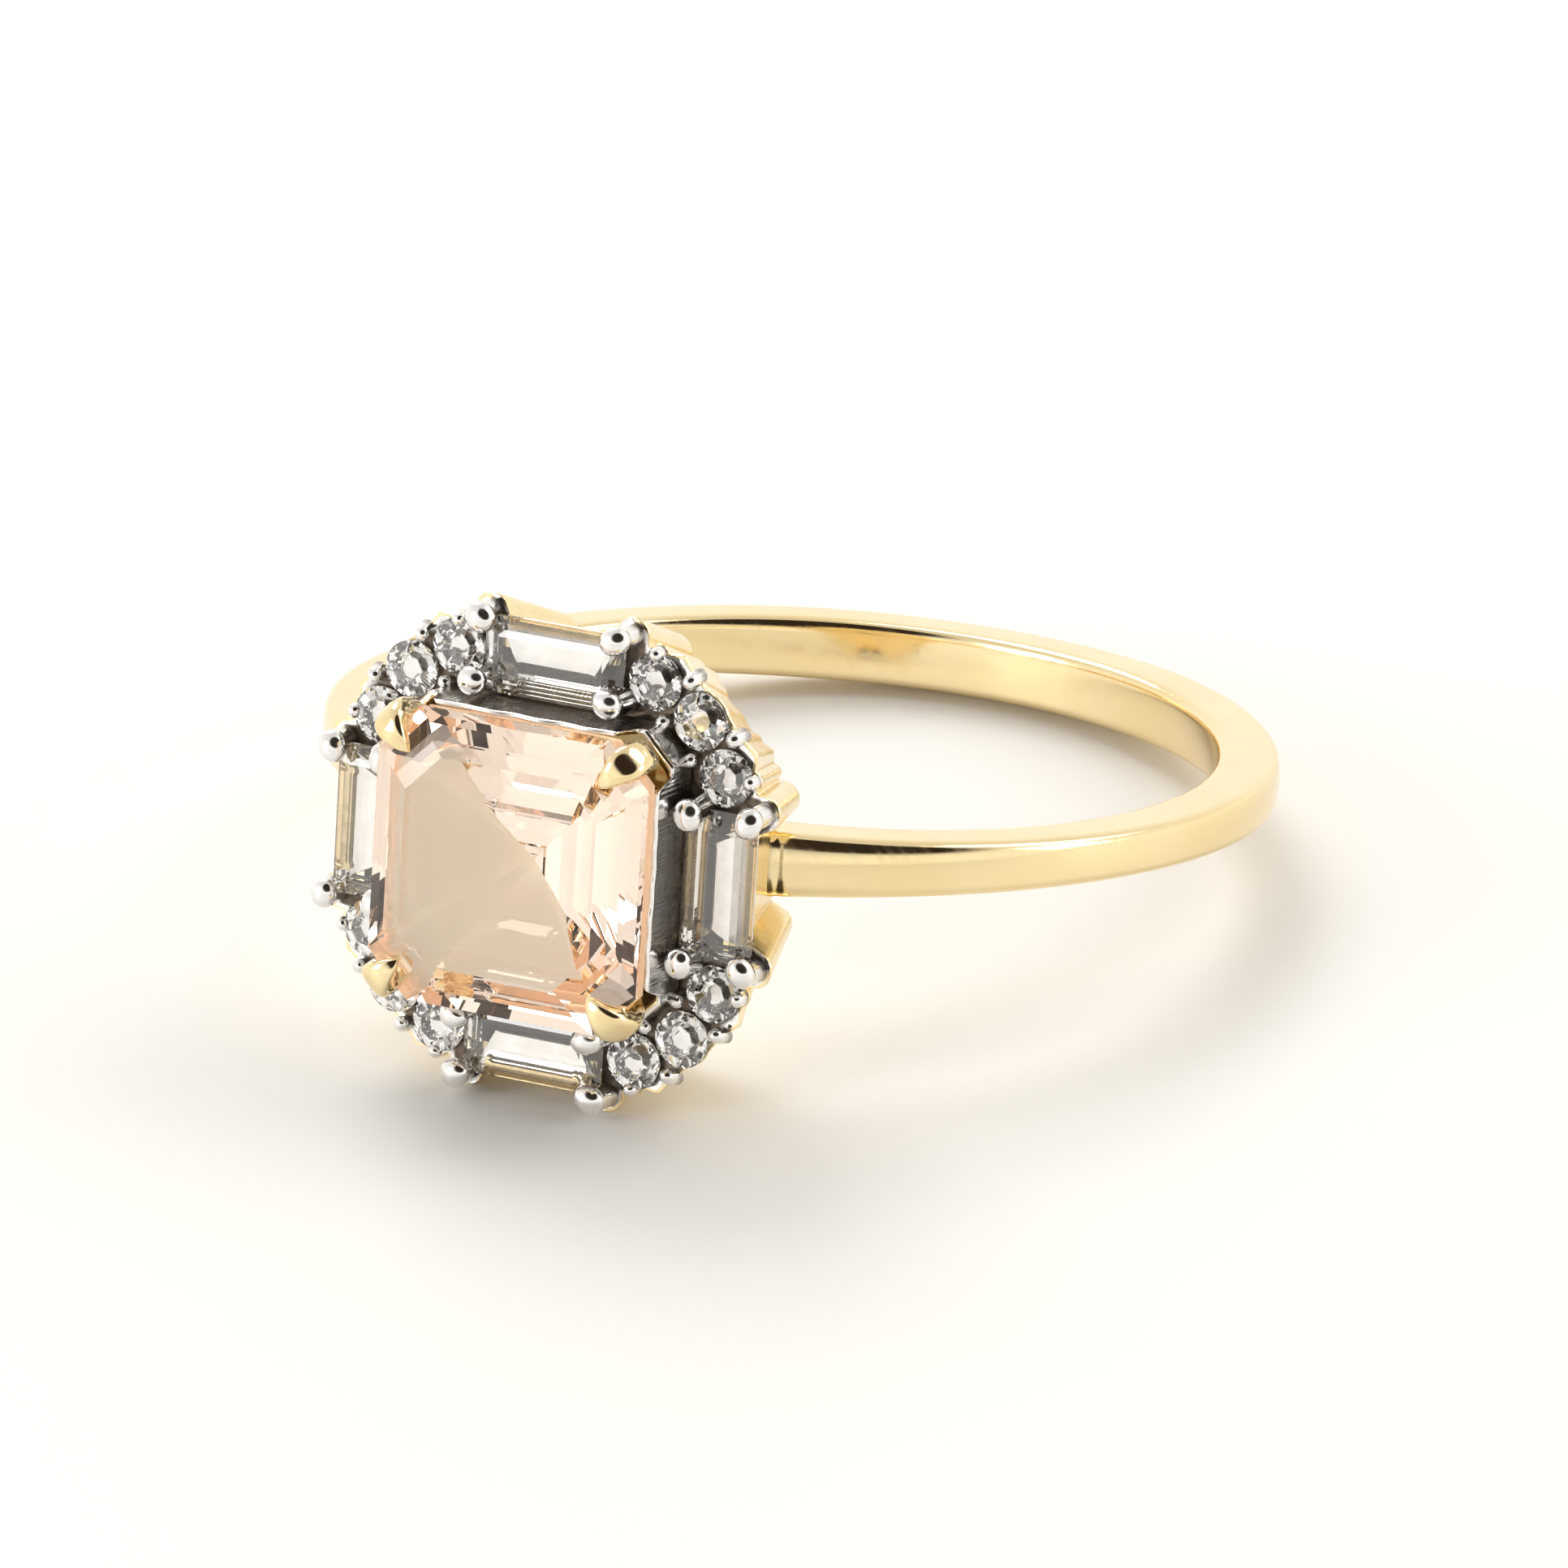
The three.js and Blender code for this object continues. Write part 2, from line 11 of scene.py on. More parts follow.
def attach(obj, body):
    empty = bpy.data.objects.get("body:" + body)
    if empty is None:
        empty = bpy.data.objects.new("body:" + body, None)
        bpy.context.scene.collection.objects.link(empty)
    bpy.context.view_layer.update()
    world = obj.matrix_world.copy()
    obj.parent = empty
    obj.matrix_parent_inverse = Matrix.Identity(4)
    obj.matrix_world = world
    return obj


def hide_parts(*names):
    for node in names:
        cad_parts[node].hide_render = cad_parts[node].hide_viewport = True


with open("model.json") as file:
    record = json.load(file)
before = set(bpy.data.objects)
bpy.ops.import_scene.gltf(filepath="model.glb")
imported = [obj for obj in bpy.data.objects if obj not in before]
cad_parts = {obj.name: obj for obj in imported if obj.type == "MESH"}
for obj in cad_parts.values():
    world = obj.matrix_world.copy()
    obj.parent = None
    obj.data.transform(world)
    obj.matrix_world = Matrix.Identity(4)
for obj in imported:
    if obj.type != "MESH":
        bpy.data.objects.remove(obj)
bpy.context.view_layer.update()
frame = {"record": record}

# Ring frame, in millimetres: u across the head, v along the finger, w out of the finger through the head.

mm = 0.001
root2 = math.sqrt(2)

ringSizes = {
    "fingerRadius": 8.5,
    "outerRadius": 9.8,
    "deck": 10.9,          # top of the halo plate
    "galleryBottom": 8.25,
    "floorTop": 9.05,
    "side": 4.5,           # flats and slants of the head's outer wall, at the deck
    "diagonal": 5.13,
    "sideTaper": 0.065,
    "cornerTaper": 0.092,
    "baguetteOut": 3.88,   # centre line of a baguette
    "rimSide": 3.05,
    "rimDiagonal": 3.86,
}


def readRingAxes():
    # Two mounts on the back of the band give the finger's direction and, with the radii, its centre.
    mounts = {m["name"]: m for m in frame["record"]["mounts"]}
    lower, upper = mounts["shank_side_lower"], mounts["shank_side_upper"]
    along = np.array(upper["axis"], float)
    along /= np.linalg.norm(along)
    across = np.array([1.0, 0.0, 0.0])
    outward = np.cross(across, along)
    back = (np.array(lower["pos_m"]) + np.array(upper["pos_m"])) / 2
    centre = back + outward * mm * (ringSizes["fingerRadius"] + ringSizes["outerRadius"]) / 2
    return centre, np.stack([across, along, outward])


ringCentre, ringAxes = readRingAxes()


def toFrame(points):
    # Ring coordinates in millimetres to the row frame in metres.
    return ringCentre + np.asarray(points, float) * mm @ ringAxes


# Meshes

def gridFaces(rows, cols, wrapRows):
    # Quads between neighbouring points. Each row is closed round; the last row joins the first when asked.
    r = np.arange(rows if wrapRows else rows - 1)[:, None]
    c = np.arange(cols)[None, :]
    nextR, nextC = (r + 1) % rows, (c + 1) % cols
    quads = [r * cols + c, r * cols + nextC, nextR * cols + nextC, nextR * cols + c]
    return np.stack([q + np.zeros_like(r * c) for q in quads], axis=-1).reshape(-1, 4)


def shell(grid, wrapRows=False, **values):
    # One closed surface: its points, its faces and any value kept at each point.
    rows, cols = grid.shape[:2]
    kept = {k: np.broadcast_to(v, (rows, cols)).ravel() for k, v in values.items()}
    return grid.reshape(-1, 3), gridFaces(rows, cols, wrapRows), kept


weldDistance, smallestEdge = 2e-7, 1e-7


def makeMesh(name, shells):
    starts = np.cumsum([0] + [len(s[0]) for s in shells[:-1]])
    points = toFrame(np.concatenate([s[0] for s in shells]))
    faces = np.concatenate([s[1] + start for s, start in zip(shells, starts)])
    mesh = bpy.data.meshes.new(name)
    mesh.vertices.add(len(points))
    mesh.vertices.foreach_set("co", points.ravel().astype(np.float32))
    mesh.loops.add(faces.size)
    mesh.loops.foreach_set("vertex_index", faces.ravel().astype(np.int32))
    mesh.polygons.add(len(faces))
    mesh.polygons.foreach_set("loop_start", np.arange(0, faces.size, 4, dtype=np.int32))
    for key in shells[0][2]:
        attribute = mesh.attributes.new(key, "FLOAT", "POINT")
        values = np.concatenate([s[2][key] for s in shells])
        attribute.data.foreach_set("value", values.astype(np.float32))
    mesh.update(calc_edges=True)
    bm = bmesh.new()
    bm.from_mesh(mesh)
    bmesh.ops.remove_doubles(bm, verts=bm.verts, dist=weldDistance)
    bmesh.ops.dissolve_degenerate(bm, edges=bm.edges, dist=smallestEdge)
    bmesh.ops.recalc_face_normals(bm, faces=bm.faces)
    bm.to_mesh(mesh)
    bm.free()
    return mesh


smoothSharp, wallSharp, clawSharp, everyEdge = 38, 50, 60, 0      # degrees over which an edge stays sharp


def addPiece(name, mesh, material, nodes, sharpAngle=smoothSharp):
    piece = bpy.data.objects.new(name, mesh)
    bpy.context.scene.collection.objects.link(piece)
    mesh.materials.append(material)
    if sharpAngle:
        mesh.polygons.foreach_set("use_smooth", np.ones(len(mesh.polygons), bool))
        mesh.set_sharp_from_angle(angle=math.radians(sharpAngle))
    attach(piece, "root")
    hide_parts(*nodes)
    return piece


def spun(points, turn):
    # Points turned about the middle of the head.
    c, s = math.cos(turn), math.sin(turn)
    return np.asarray(points) @ np.array([[c, s, 0], [-s, c, 0], [0, 0, 1]])


def smoothStep(x, low, high):
    t = np.clip((x - low) / (high - low), 0, 1)
    return t * t * (3 - 2 * t)


def roundAngles(count):
    return np.linspace(0, 2 * math.pi, count, endpoint=False)


def polarPoints(reach, angle, height):
    # Points at a reach from the upright axis along each angle, and at a height.
    return np.stack(np.broadcast_arrays(reach * np.cos(angle), reach * np.sin(angle), height), axis=-1)


def revolved(profile, sides):
    # A profile of (radius, height) pairs carried round the upright axis.
    radius, height = np.asarray(profile, float).T[..., None]
    return polarPoints(radius, roundAngles(sides), height)


def closeEnds(grid):
    # One more row at each end, all of it at the middle of that end.
    first, last = [end.mean(axis=1, keepdims=True) + 0 * end for end in (grid[:1], grid[-1:])]
    return np.concatenate([first, grid, last])


def bell(x, middle, half):
    # e to the power of minus the square of the distance from the middle, counted in half widths.
    return np.exp(-((x - middle) / half) ** 2)


def signedPower(x, power):
    return np.sign(x) * np.abs(x) ** power


def curveThrough(points, count):
    # Catmull-Rom curve through the points, the same number of steps in every span.
    p = np.asarray(points, float)
    p = np.concatenate([[2 * p[0] - p[1]], p, [2 * p[-1] - p[-2]]])
    justUnder = 1e-9       # keeps the last step inside the last span
    t = np.linspace(0, len(points) - 1 - justUnder, count)
    i = t.astype(int)
    t = (t - i)[:, None]
    a, b, c, d = p[i], p[i + 1], p[i + 2], p[i + 3]
    squared, cubed = 2 * a - 5 * b + 4 * c - d, 3 * b - a - 3 * c + d
    return 0.5 * (2 * b + (c - a) * t + squared * t ** 2 + cubed * t ** 3)


# Materials

def newMaterial(name):
    material = bpy.data.materials.new(name)
    material.use_nodes = True
    nodes = material.node_tree.nodes
    return material, nodes, material.node_tree.links, nodes["Principled BSDF"]


def addNode(nodes, kind, **settings):
    node = nodes.new(kind)
    for key, value in settings.items():
        if key in node.inputs:
            node.inputs[key].default_value = value
        else:
            setattr(node, key, value)
    return node


def noiseAt(nodes, links, scale, detail=4.0, stretch=(1, 1, 1), rough=0.55):
    # Noise on Object coordinates; scale counts its blotches in a metre.
    where = nodes.new("ShaderNodeTexCoord")
    mapping = addNode(nodes, "ShaderNodeMapping", Scale=stretch)
    noise = addNode(nodes, "ShaderNodeTexNoise", Scale=scale, Detail=detail, Roughness=rough)
    links.new(where.outputs["Object"], mapping.inputs["Vector"])
    links.new(mapping.outputs["Vector"], noise.inputs["Vector"])
    return noise


def ramp(nodes, links, source, low, high, fromLow, fromHigh):
    node = addNode(nodes, "ShaderNodeMapRange")
    for key, value in (("From Min", fromLow), ("From Max", fromHigh), ("To Min", low), ("To Max", high)):
        node.inputs[key].default_value = value
    links.new(source, node.inputs["Value"])
    return node.outputs["Result"]


def blendColours(nodes, links, share, first, second):
    node = addNode(nodes, "ShaderNodeMix", data_type="RGBA")
    links.new(share, node.inputs["Factor"])
    for socket, colour in (("A", first), ("B", second)):
        target = [i for i in node.inputs if i.name == socket and i.type == "RGBA"][0]
        if hasattr(colour, "is_output"):
            links.new(colour, target)
        else:
            target.default_value = (*colour, 1)
    return [o for o in node.outputs if o.type == "RGBA"][0]


noiseSpans = {       # the part of each noise that its ramp uses
    "drift": (0.3, 0.7), "scratch": (0.35, 0.7), "recess": (0.42, 0.95),
    "cloud": (0.35, 0.65), "polish": (0.5, 0.8),
}
grainInRecess = 0.5      # share of the grain added to a piece's recess value
slowDetail, fineDetail, grainDetail = 3, 5, 6
scratchStretch, polishStretch = (1, 6, 0.35), (1, 5, 0.4)


def metalMaterial(name, look):
    # Metal with a slow colour drift, fine scratches in its roughness and a faint bump.
    # Where a piece's recess value is high, its colour and roughness move to the recess ones (on white gold:
    # tarnish and painted shade).
    material, nodes, links, shader = newMaterial(name)
    shader.inputs["Metallic"].default_value = 1.0
    drift = noiseAt(nodes, links, look["driftScale"], slowDetail)
    share = ramp(nodes, links, drift.outputs["Fac"], 0, 1, *noiseSpans["drift"])
    colour = blendColours(nodes, links, share, look["colour"], look["shade"])
    scratch = noiseAt(nodes, links, look["scratchScale"], fineDetail, scratchStretch)
    grain = noiseAt(nodes, links, look["grainScale"], grainDetail)
    roughRange = look["roughLow"], look["roughHigh"]
    rough = ramp(nodes, links, scratch.outputs["Fac"], *roughRange, *noiseSpans["scratch"])
    if "recessColour" in look:
        attribute = addNode(nodes, "ShaderNodeAttribute", attribute_name="recess")
        # Recess value plus some grain; on white gold it sets the share of tarnish and painted shade
        textured = addNode(nodes, "ShaderNodeMath", operation="MULTIPLY_ADD")
        links.new(grain.outputs["Fac"], textured.inputs[0])
        textured.inputs[1].default_value = grainInRecess
        links.new(attribute.outputs["Fac"], textured.inputs[2])
        deep = ramp(nodes, links, textured.outputs[0], 0, 1, *noiseSpans["recess"])
        colour = blendColours(nodes, links, deep, colour, look["recessColour"])
        more = addNode(nodes, "ShaderNodeMath", operation="MULTIPLY_ADD")
        links.new(deep, more.inputs[0])
        more.inputs[1].default_value = look["recessRough"]
        links.new(rough, more.inputs[2])
        rough = more.outputs[0]
    links.new(colour, shader.inputs["Base Color"])
    links.new(rough, shader.inputs["Roughness"])
    bump = addNode(nodes, "ShaderNodeBump", Strength=look["bump"], Distance=look["bumpDepth"])
    links.new(grain.outputs["Fac"], bump.inputs["Height"])
    links.new(bump.outputs["Normal"], shader.inputs["Normal"])
    # Painted glow: the surface gives off light of its own though it is no lamp
    if "paintedGlow" in look:
        shader.inputs["Emission Color"].default_value = (*look["paintedGlow"], 1)
        shader.inputs["Emission Strength"].default_value = look["paintedGlowStrength"]
    return material


def stoneMaterial(name, look):
    # Clear stone: a faint colour cloud, a polish that varies a little, and a tint that deepens inside.
    material, nodes, links, shader = newMaterial(name)
    shader.inputs["Transmission Weight"].default_value = 1.0
    shader.inputs["IOR"].default_value = look["ior"]
    cloud = noiseAt(nodes, links, look["cloudScale"], slowDetail)
    share = ramp(nodes, links, cloud.outputs["Fac"], 0, 1, *noiseSpans["cloud"])
    links.new(blendColours(nodes, links, share, look["colour"], look["shade"]), shader.inputs["Base Color"])
    polish = noiseAt(nodes, links, look["polishScale"], fineDetail, polishStretch)
    rough = ramp(nodes, links, polish.outputs["Fac"], 0, look["roughHigh"], *noiseSpans["polish"])
    links.new(rough, shader.inputs["Roughness"])
    if "depthColour" in look:
        depth = nodes.new("ShaderNodeVolumeAbsorption")
        depth.inputs["Color"].default_value = (*look["depthColour"], 1)
        depth.inputs["Density"].default_value = look["depthDensity"]
        links.new(depth.outputs["Volume"], nodes["Material Output"].inputs["Volume"])
    return material


goldLook = {
    "colour": (0.93, 0.77, 0.47), "shade": (0.89, 0.71, 0.39),
    "driftScale": 260, "scratchScale": 1600, "grainScale": 9000,
    "roughLow": 0.07, "roughHigh": 0.2, "bump": 0.12, "bumpDepth": 2e-6,
}
castGoldLook = {
    "colour": (0.94, 0.79, 0.50), "shade": (0.90, 0.72, 0.40),
    "driftScale": 900, "scratchScale": 2600, "grainScale": 6000,
    "roughLow": 0.12, "roughHigh": 0.34, "bump": 0.3, "bumpDepth": 6e-6,
}
clawGoldLook = {
    "colour": (0.95, 0.80, 0.50), "shade": (0.91, 0.73, 0.40),
    "driftScale": 1200, "scratchScale": 3000, "grainScale": 9000,
    "roughLow": 0.05, "roughHigh": 0.16, "bump": 0.15, "bumpDepth": 3e-6,
}
whiteLook = {
    "colour": (0.93, 0.92, 0.91), "shade": (0.86, 0.84, 0.82),
    "driftScale": 1500, "scratchScale": 3600, "grainScale": 7000,
    "roughLow": 0.06, "roughHigh": 0.2, "bump": 0.2, "bumpDepth": 4e-6,
    # dark brown where the recess value is high: tarnish and painted shade in the hollows, at the feet of
    # beads and claws and under the plate
    "recessColour": (0.17, 0.135, 0.105), "recessRough": 0.3,
}
peachLook = {
    "ior": 1.58, "colour": (1.0, 0.985, 0.95), "shade": (1.0, 0.965, 0.93),
    "cloudScale": 500, "polishScale": 2500, "roughHigh": 0.02,
    "depthColour": (1.0, 0.74, 0.54), "depthDensity": 88,
}
clearLook = {
    "ior": 2.3, "colour": (0.99, 0.985, 0.98), "shade": (0.95, 0.935, 0.925),
    "cloudScale": 900, "polishScale": 3000, "roughHigh": 0.02,
}
baguetteLook = {
    "ior": 2.2, "colour": (0.99, 0.98, 0.96), "shade": (0.96, 0.93, 0.90),
    "cloudScale": 900, "polishScale": 3000, "roughHigh": 0.02,
}
satinLook = {
    "colour": (0.99, 0.97, 0.92), "shade": (0.96, 0.93, 0.86),
    "driftScale": 700, "scratchScale": 1800, "grainScale": 5000,
    "roughLow": 0.75, "roughHigh": 0.9, "bump": 0.02, "bumpDepth": 1e-6,
    "recessColour": (0.95, 0.60, 0.34), "recessRough": -0.35,
    "paintedGlow": (1.0, 0.92, 0.74), "paintedGlowStrength": 0.27,      # painted glow: the cup gives off light, standing in for light from the open back of the head
}

shankGold = metalMaterial("polishedYellowGold", goldLook)
castGold = metalMaterial("castYellowGold", castGoldLook)
clawGold = metalMaterial("burnishedYellowGold", clawGoldLook)
whiteGold = metalMaterial("rhodiumWhiteGold", whiteLook)
peachStone = stoneMaterial("peachStone", peachLook)
clearStone = stoneMaterial("clearStone", clearLook)
baguetteStone = stoneMaterial("baguetteStone", baguetteLook)
satinWhite = metalMaterial("satinWhiteGoldPaintedGlow", satinLook)
print("materials made")


# Band

band = {
    "widthHead": 1.36, "widthMiddle": 0.98, "widthBack": 1.36, "flare": 2.5,
    "backLand": 0.35,      # radians of even width at the back
    "opening": 0.402,      # half the angle that the head closes
    "edge": 0.24,          # rounding of the long edges
    "dome": 0.07,          # crown of the outer face over its edges
    "inset": 0.004,        # keeps the round surface inside the many-sided one
    "groove": 0.012,       # depth of the line pressed in all round just before each end
    "grooveAt": 0.026, "grooveHalf": 0.006,      # its place and half width, radians
    "cornerPower": 2 / 7,
    "steps": 440, "around": 56, "crowd": 0.86,      # sections crowd towards the ends
}


def bandWidth(angle):
    # From the back's width to the narrowest along a smooth step, then to the head's along a power of the way.
    away = np.abs(angle)
    toMiddle = smoothStep(away, band["backLand"], math.pi / 2)
    toHead = np.clip((away - math.pi / 2) / (math.pi / 2 - band["opening"]), 0, 1) ** band["flare"]
    width = band["widthBack"] + (band["widthMiddle"] - band["widthBack"]) * toMiddle
    return width + (band["widthHead"] - band["widthMiddle"]) * toHead


def bandSection(count):
    # Rounded box from -1 to 1 both ways: cosine and sine raised to a small power, each with its sign kept.
    t = roundAngles(count)
    return signedPower(np.cos(t), band["cornerPower"]), signedPower(np.sin(t), band["cornerPower"])


def makeBand():
    # The section is carried round the finger. Its outer face falls with the square of the distance across,
    # and a bell-shaped groove makes it thinner and narrower just before each end.
    reach = math.pi - band["opening"]
    quarter = math.pi / 2 * band["crowd"]
    angle = reach * np.sin(np.linspace(-1, 1, band["steps"]) * quarter) / math.sin(quarter)
    across, out = bandSection(band["around"])
    thick = ringSizes["outerRadius"] - ringSizes["fingerRadius"] - 2 * band["inset"]
    half = bandWidth(angle)[:, None] / 2 - band["inset"]
    crown = band["dome"] * across ** 2 * (out > 0) * out
    middle = (ringSizes["outerRadius"] + ringSizes["fingerRadius"]) / 2
    fromEnd = reach - np.abs(angle)[:, None]
    groove = band["groove"] * bell(fromEnd, band["grooveAt"], band["grooveHalf"])
    radius = middle + out * (thick / 2 - groove) - crown
    v = across * (half - groove)
    u, w = radius * np.sin(angle)[:, None], -radius * np.cos(angle)[:, None]
    return shell(closeEnds(np.stack([u, v, w], axis=-1)))


addPiece("shank_band", makeMesh("shank_band", [makeBand()]), shankGold, ["shank"])
print("band made")


# Plan of the head

clawAt = {"along": 1.58, "inner": 3.37, "outer": 4.68}
roundAt = {"end": (2.186, 3.85), "middle": (3.22, 3.22), "radius": 0.58}
beadAt = {
    "radius": 0.162, "height": 0.33,
    "overStone": 0.05,     # how far inside the stone's edge a bead's middle is
    "endPast": 0.56,       # from the first and last stone's middle out to the bead beyond them
    "sunk": 0.14, "foot": 0.1, "swell": 1.02, "dome": 1.05, "domeSteps": 8, "around": 20,
    "recess": 0.5, "recessFade": (0.35, 0.7),
    "radiusSpread": (0.94, 1.03), "heightSpread": (0.9, 1.0),
}


def quarterTurns(points):
    return [tuple(spun([x, y, 0], k * math.pi / 2)[:2]) for k in range(4) for x, y in points]


def besideJoint(a, b, side):
    # A bead's place: square to the line between two stones from its middle, outside (1) or inside (-1).
    a, b = np.array(a), np.array(b)
    step = (b - a) / np.linalg.norm(b - a)
    reach = side * (roundAt["radius"] - beadAt["overStone"])
    return tuple((a + b) / 2 + reach * np.array([-step[1], step[0]]))


endRound, middleRound = roundAt["end"], roundAt["middle"]
lastRound = endRound[::-1]
outerBeads = [besideJoint(endRound, middleRound, 1), besideJoint(middleRound, lastRound, 1)]
innerBeads = [besideJoint(endRound, middleRound, -1), besideJoint(middleRound, lastRound, -1)]
endBeads = [(endRound[0], endRound[1] + beadAt["endPast"]), (lastRound[0] + beadAt["endPast"], lastRound[1])]


def octagonReach(angle, side, diagonal):
    # The nearer of a square's four sides and of the four that cut its corners.
    c, s = np.abs(np.cos(angle)), np.abs(np.sin(angle))
    return np.minimum(side / np.maximum(c, s), diagonal * root2 / (c + s))


def columnReach(angle, x, y, radius):
    # Far side of a round column along each ray from the middle, or 0 where the ray misses it.
    far = math.hypot(x, y)
    off = angle - math.atan2(y, x)
    across = far * np.sin(off)
    hit = (np.cos(off) > 0) & (np.abs(across) < radius)
    return np.where(hit, far * np.cos(off) + np.sqrt(np.maximum(radius ** 2 - across ** 2, 0)), 0)


def taperAt(angle):
    # Loss of reach for each millimetre down, from a side to a corner by the fourth power of a sine.
    blend = np.sin(2 * angle) ** 4
    return ringSizes["sideTaper"] + (ringSizes["cornerTaper"] - ringSizes["sideTaper"]) * blend


# Gallery: the yellow wall under the halo, ribbed below every claw and bead

galleryLook = {
    "clawColumn": 0.4, "beadColumn": 0.235, "middleColumn": 0.5, "middleAt": 3.32,
    "topEdge": 10.87, "topBevel": 0.03, "innerTop": 10.62, "wall": 0.4, "lip": 0.12,
    "grooves": ((0.05, 0.035, 0.1), (0.19, 0.035, 0.07)),      # beside a column: place, half width, depth
    "beadGrooves": ((0.05, 0.03, 0.06), (0.15, 0.025, 0.04)),
    "hole": 1.4, "holeBevel": 0.04, "holeHeights": (8.62, 8.8),
    "edge": 0.1, "standIn": 0.035, "around": 1440, "soften": 2,
    "sideTop": 0.1, "sideRings": 22, "underRings": 18, "floorRings": 6, "innerFoot": 0.2, "innerRings": 6,
    "waist": 0.05, "waistAt": 0.55, "waistTall": 0.32,      # flat sides drawn in lower down
    "waistAlong": (1.0, 1.3),      # the drawing in fades out between these places along a side
}


def galleryReach(angle, inset=0.0):
    # The larger of the columns and the wall, less the bell-shaped grooves pressed into it beside each column.
    # Each reach is then the mean of its neighbours', which softens the corners.
    look = galleryLook
    wall = octagonReach(angle, ringSizes["side"], ringSizes["diagonal"])
    x, y = wall * np.cos(angle), wall * np.sin(angle)
    groove = np.zeros_like(wall)
    columns = np.zeros_like(wall)
    clawColumns = [(-clawAt["along"], clawAt["outer"]), (clawAt["along"], clawAt["outer"])]
    for places, radius, grooves in (
        (clawColumns, look["clawColumn"], look["grooves"]),
        (outerBeads + endBeads, look["beadColumn"], look["beadGrooves"]),
        ([(look["middleAt"], look["middleAt"])], look["middleColumn"], ()),
    ):
        for cx, cy in quarterTurns(places):
            away = np.hypot(x - cx, y - cy) - radius
            for place, half, depth in grooves:
                groove += depth * bell(away, place, half)
            columns = np.maximum(columns, columnReach(angle, cx, cy, radius))
    reach = np.maximum(wall - groove, columns) - look["standIn"] - inset
    near = np.arange(-look["soften"], look["soften"] + 1)
    return sum(np.roll(reach, k) for k in near) / len(near)


def makeGallery():
    # Rings of points run down the outer wall, under the floor to its hole, up through it and up the inside.
    # Each reach shrinks with the taper; the underside follows the finger's circle where that is higher.
    look, sizes = galleryLook, ringSizes
    angle = roundAngles(look["around"])
    outer = galleryReach(angle)
    inner = octagonReach(angle, sizes["side"] - look["wall"], sizes["diagonal"] - look["wall"])
    lipIn = galleryReach(angle, look["lip"])
    taper = taperAt(angle)
    rings = []

    def share(height):
        return 1 - taper * (sizes["deck"] - height)

    def addRing(reach, height):
        rings.append(polarPoints(reach, angle, height))

    x, y = outer * np.cos(angle), outer * np.sin(angle)
    flat = 1 - smoothStep(np.minimum(np.abs(x), np.abs(y)), *look["waistAlong"])

    def waist(height):
        down = (sizes["deck"] - height) / (sizes["deck"] - sizes["galleryBottom"])
        return look["waist"] * flat * bell(down, look["waistAt"], look["waistTall"])

    top, bevelled = look["topEdge"], look["topEdge"] - look["topBevel"]
    addRing((outer - look["topBevel"]) * share(top), top)
    addRing(outer * share(bevelled), bevelled)
    sideFoot = sizes["galleryBottom"] + look["edge"]
    for height in np.linspace(top - look["sideTop"], sideFoot, look["sideRings"]):
        addRing((outer - waist(height)) * share(height), height)
    for turn in np.linspace(0.3, 1, 4) * math.pi / 2:
        height = sizes["galleryBottom"] + look["edge"] * (1 - math.sin(turn))
        addRing((outer - look["edge"] * (1 - math.cos(turn))) * share(height), height)
    foot = (outer - look["edge"]) * share(sizes["galleryBottom"])
    for k in np.linspace(0.06, 1, look["underRings"]):
        reach = foot + (look["hole"] - foot) * k
        curve = np.sqrt(np.maximum(sizes["fingerRadius"] ** 2 - (reach * np.cos(angle)) ** 2, 0))
        addRing(reach, np.maximum(curve, sizes["galleryBottom"]))
    for height in (*look["holeHeights"], sizes["floorTop"] - look["holeBevel"]):
        addRing(look["hole"], height)
    holeTop = look["hole"] + look["holeBevel"]
    addRing(holeTop, sizes["floorTop"])
    floorReach = inner * share(sizes["floorTop"])
    for k in np.linspace(0.2, 1, look["floorRings"]):
        addRing(holeTop + (floorReach - holeTop) * k, sizes["floorTop"])
    for height in np.linspace(sizes["floorTop"] + look["innerFoot"], look["innerTop"], look["innerRings"]):
        addRing(inner * share(height), height)
    addRing(lipIn * share(look["innerTop"]), look["innerTop"])
    addRing(lipIn * share(top), top)
    return shell(np.stack(rings), wrapRows=True)


saddleLook = {"past": 0.02, "steps": 40, "under": 0.01}       # past the band's ends, under the floor's top


def makeSaddle():
    # The band's section carried on round the finger under the head, as a strip of the floor.
    reach = band["opening"] + saddleLook["past"]
    angle = np.linspace(-reach, reach, saddleLook["steps"])
    across, out = bandSection(band["around"])
    low, high = ringSizes["fingerRadius"] + band["inset"], ringSizes["floorTop"] - saddleLook["under"]
    radius = (low + high) / 2 + out * (high - low) / 2 + 0 * angle[:, None]
    v = across * (band["widthHead"] / 2 - band["inset"]) + 0 * angle[:, None]
    u, w = radius * np.sin(angle)[:, None], radius * np.cos(angle)[:, None]
    return shell(closeEnds(np.stack([u, v, w], axis=-1)))


addPiece("gallery_wall", makeMesh("gallery_wall", [makeGallery(), makeSaddle()]),
         castGold, ["gallery"])
print("gallery made")


# Halo plate with its seats, and the beads that hold the round stones

plateLook = {
    "under": 10.2, "ledge": 10.66, "ledgeWide": 0.62, "ledgeStep": 0.02, "ledgeTopWide": 0.67,
    "inset": 0.1, "insetSide": 0.04,
    "sideUnder": 0.3,      # a direction is beside a flat side where its smaller share is under this
    "underRim": 0.17, "around": 900, "rings": 70, "sunk": 0.02, "ripple": 0.012,
    "seatDrop": 0.66, "seatSlope": 0.09, "baguetteHalf": (1.44, 0.69), "roundSeat": 0.53,
    "recess": 0.8, "recessEdge": 0.65, "edgeFrom": (-0.22, -0.05),      # the outer edge gets less of the tarnish and painted shade
}


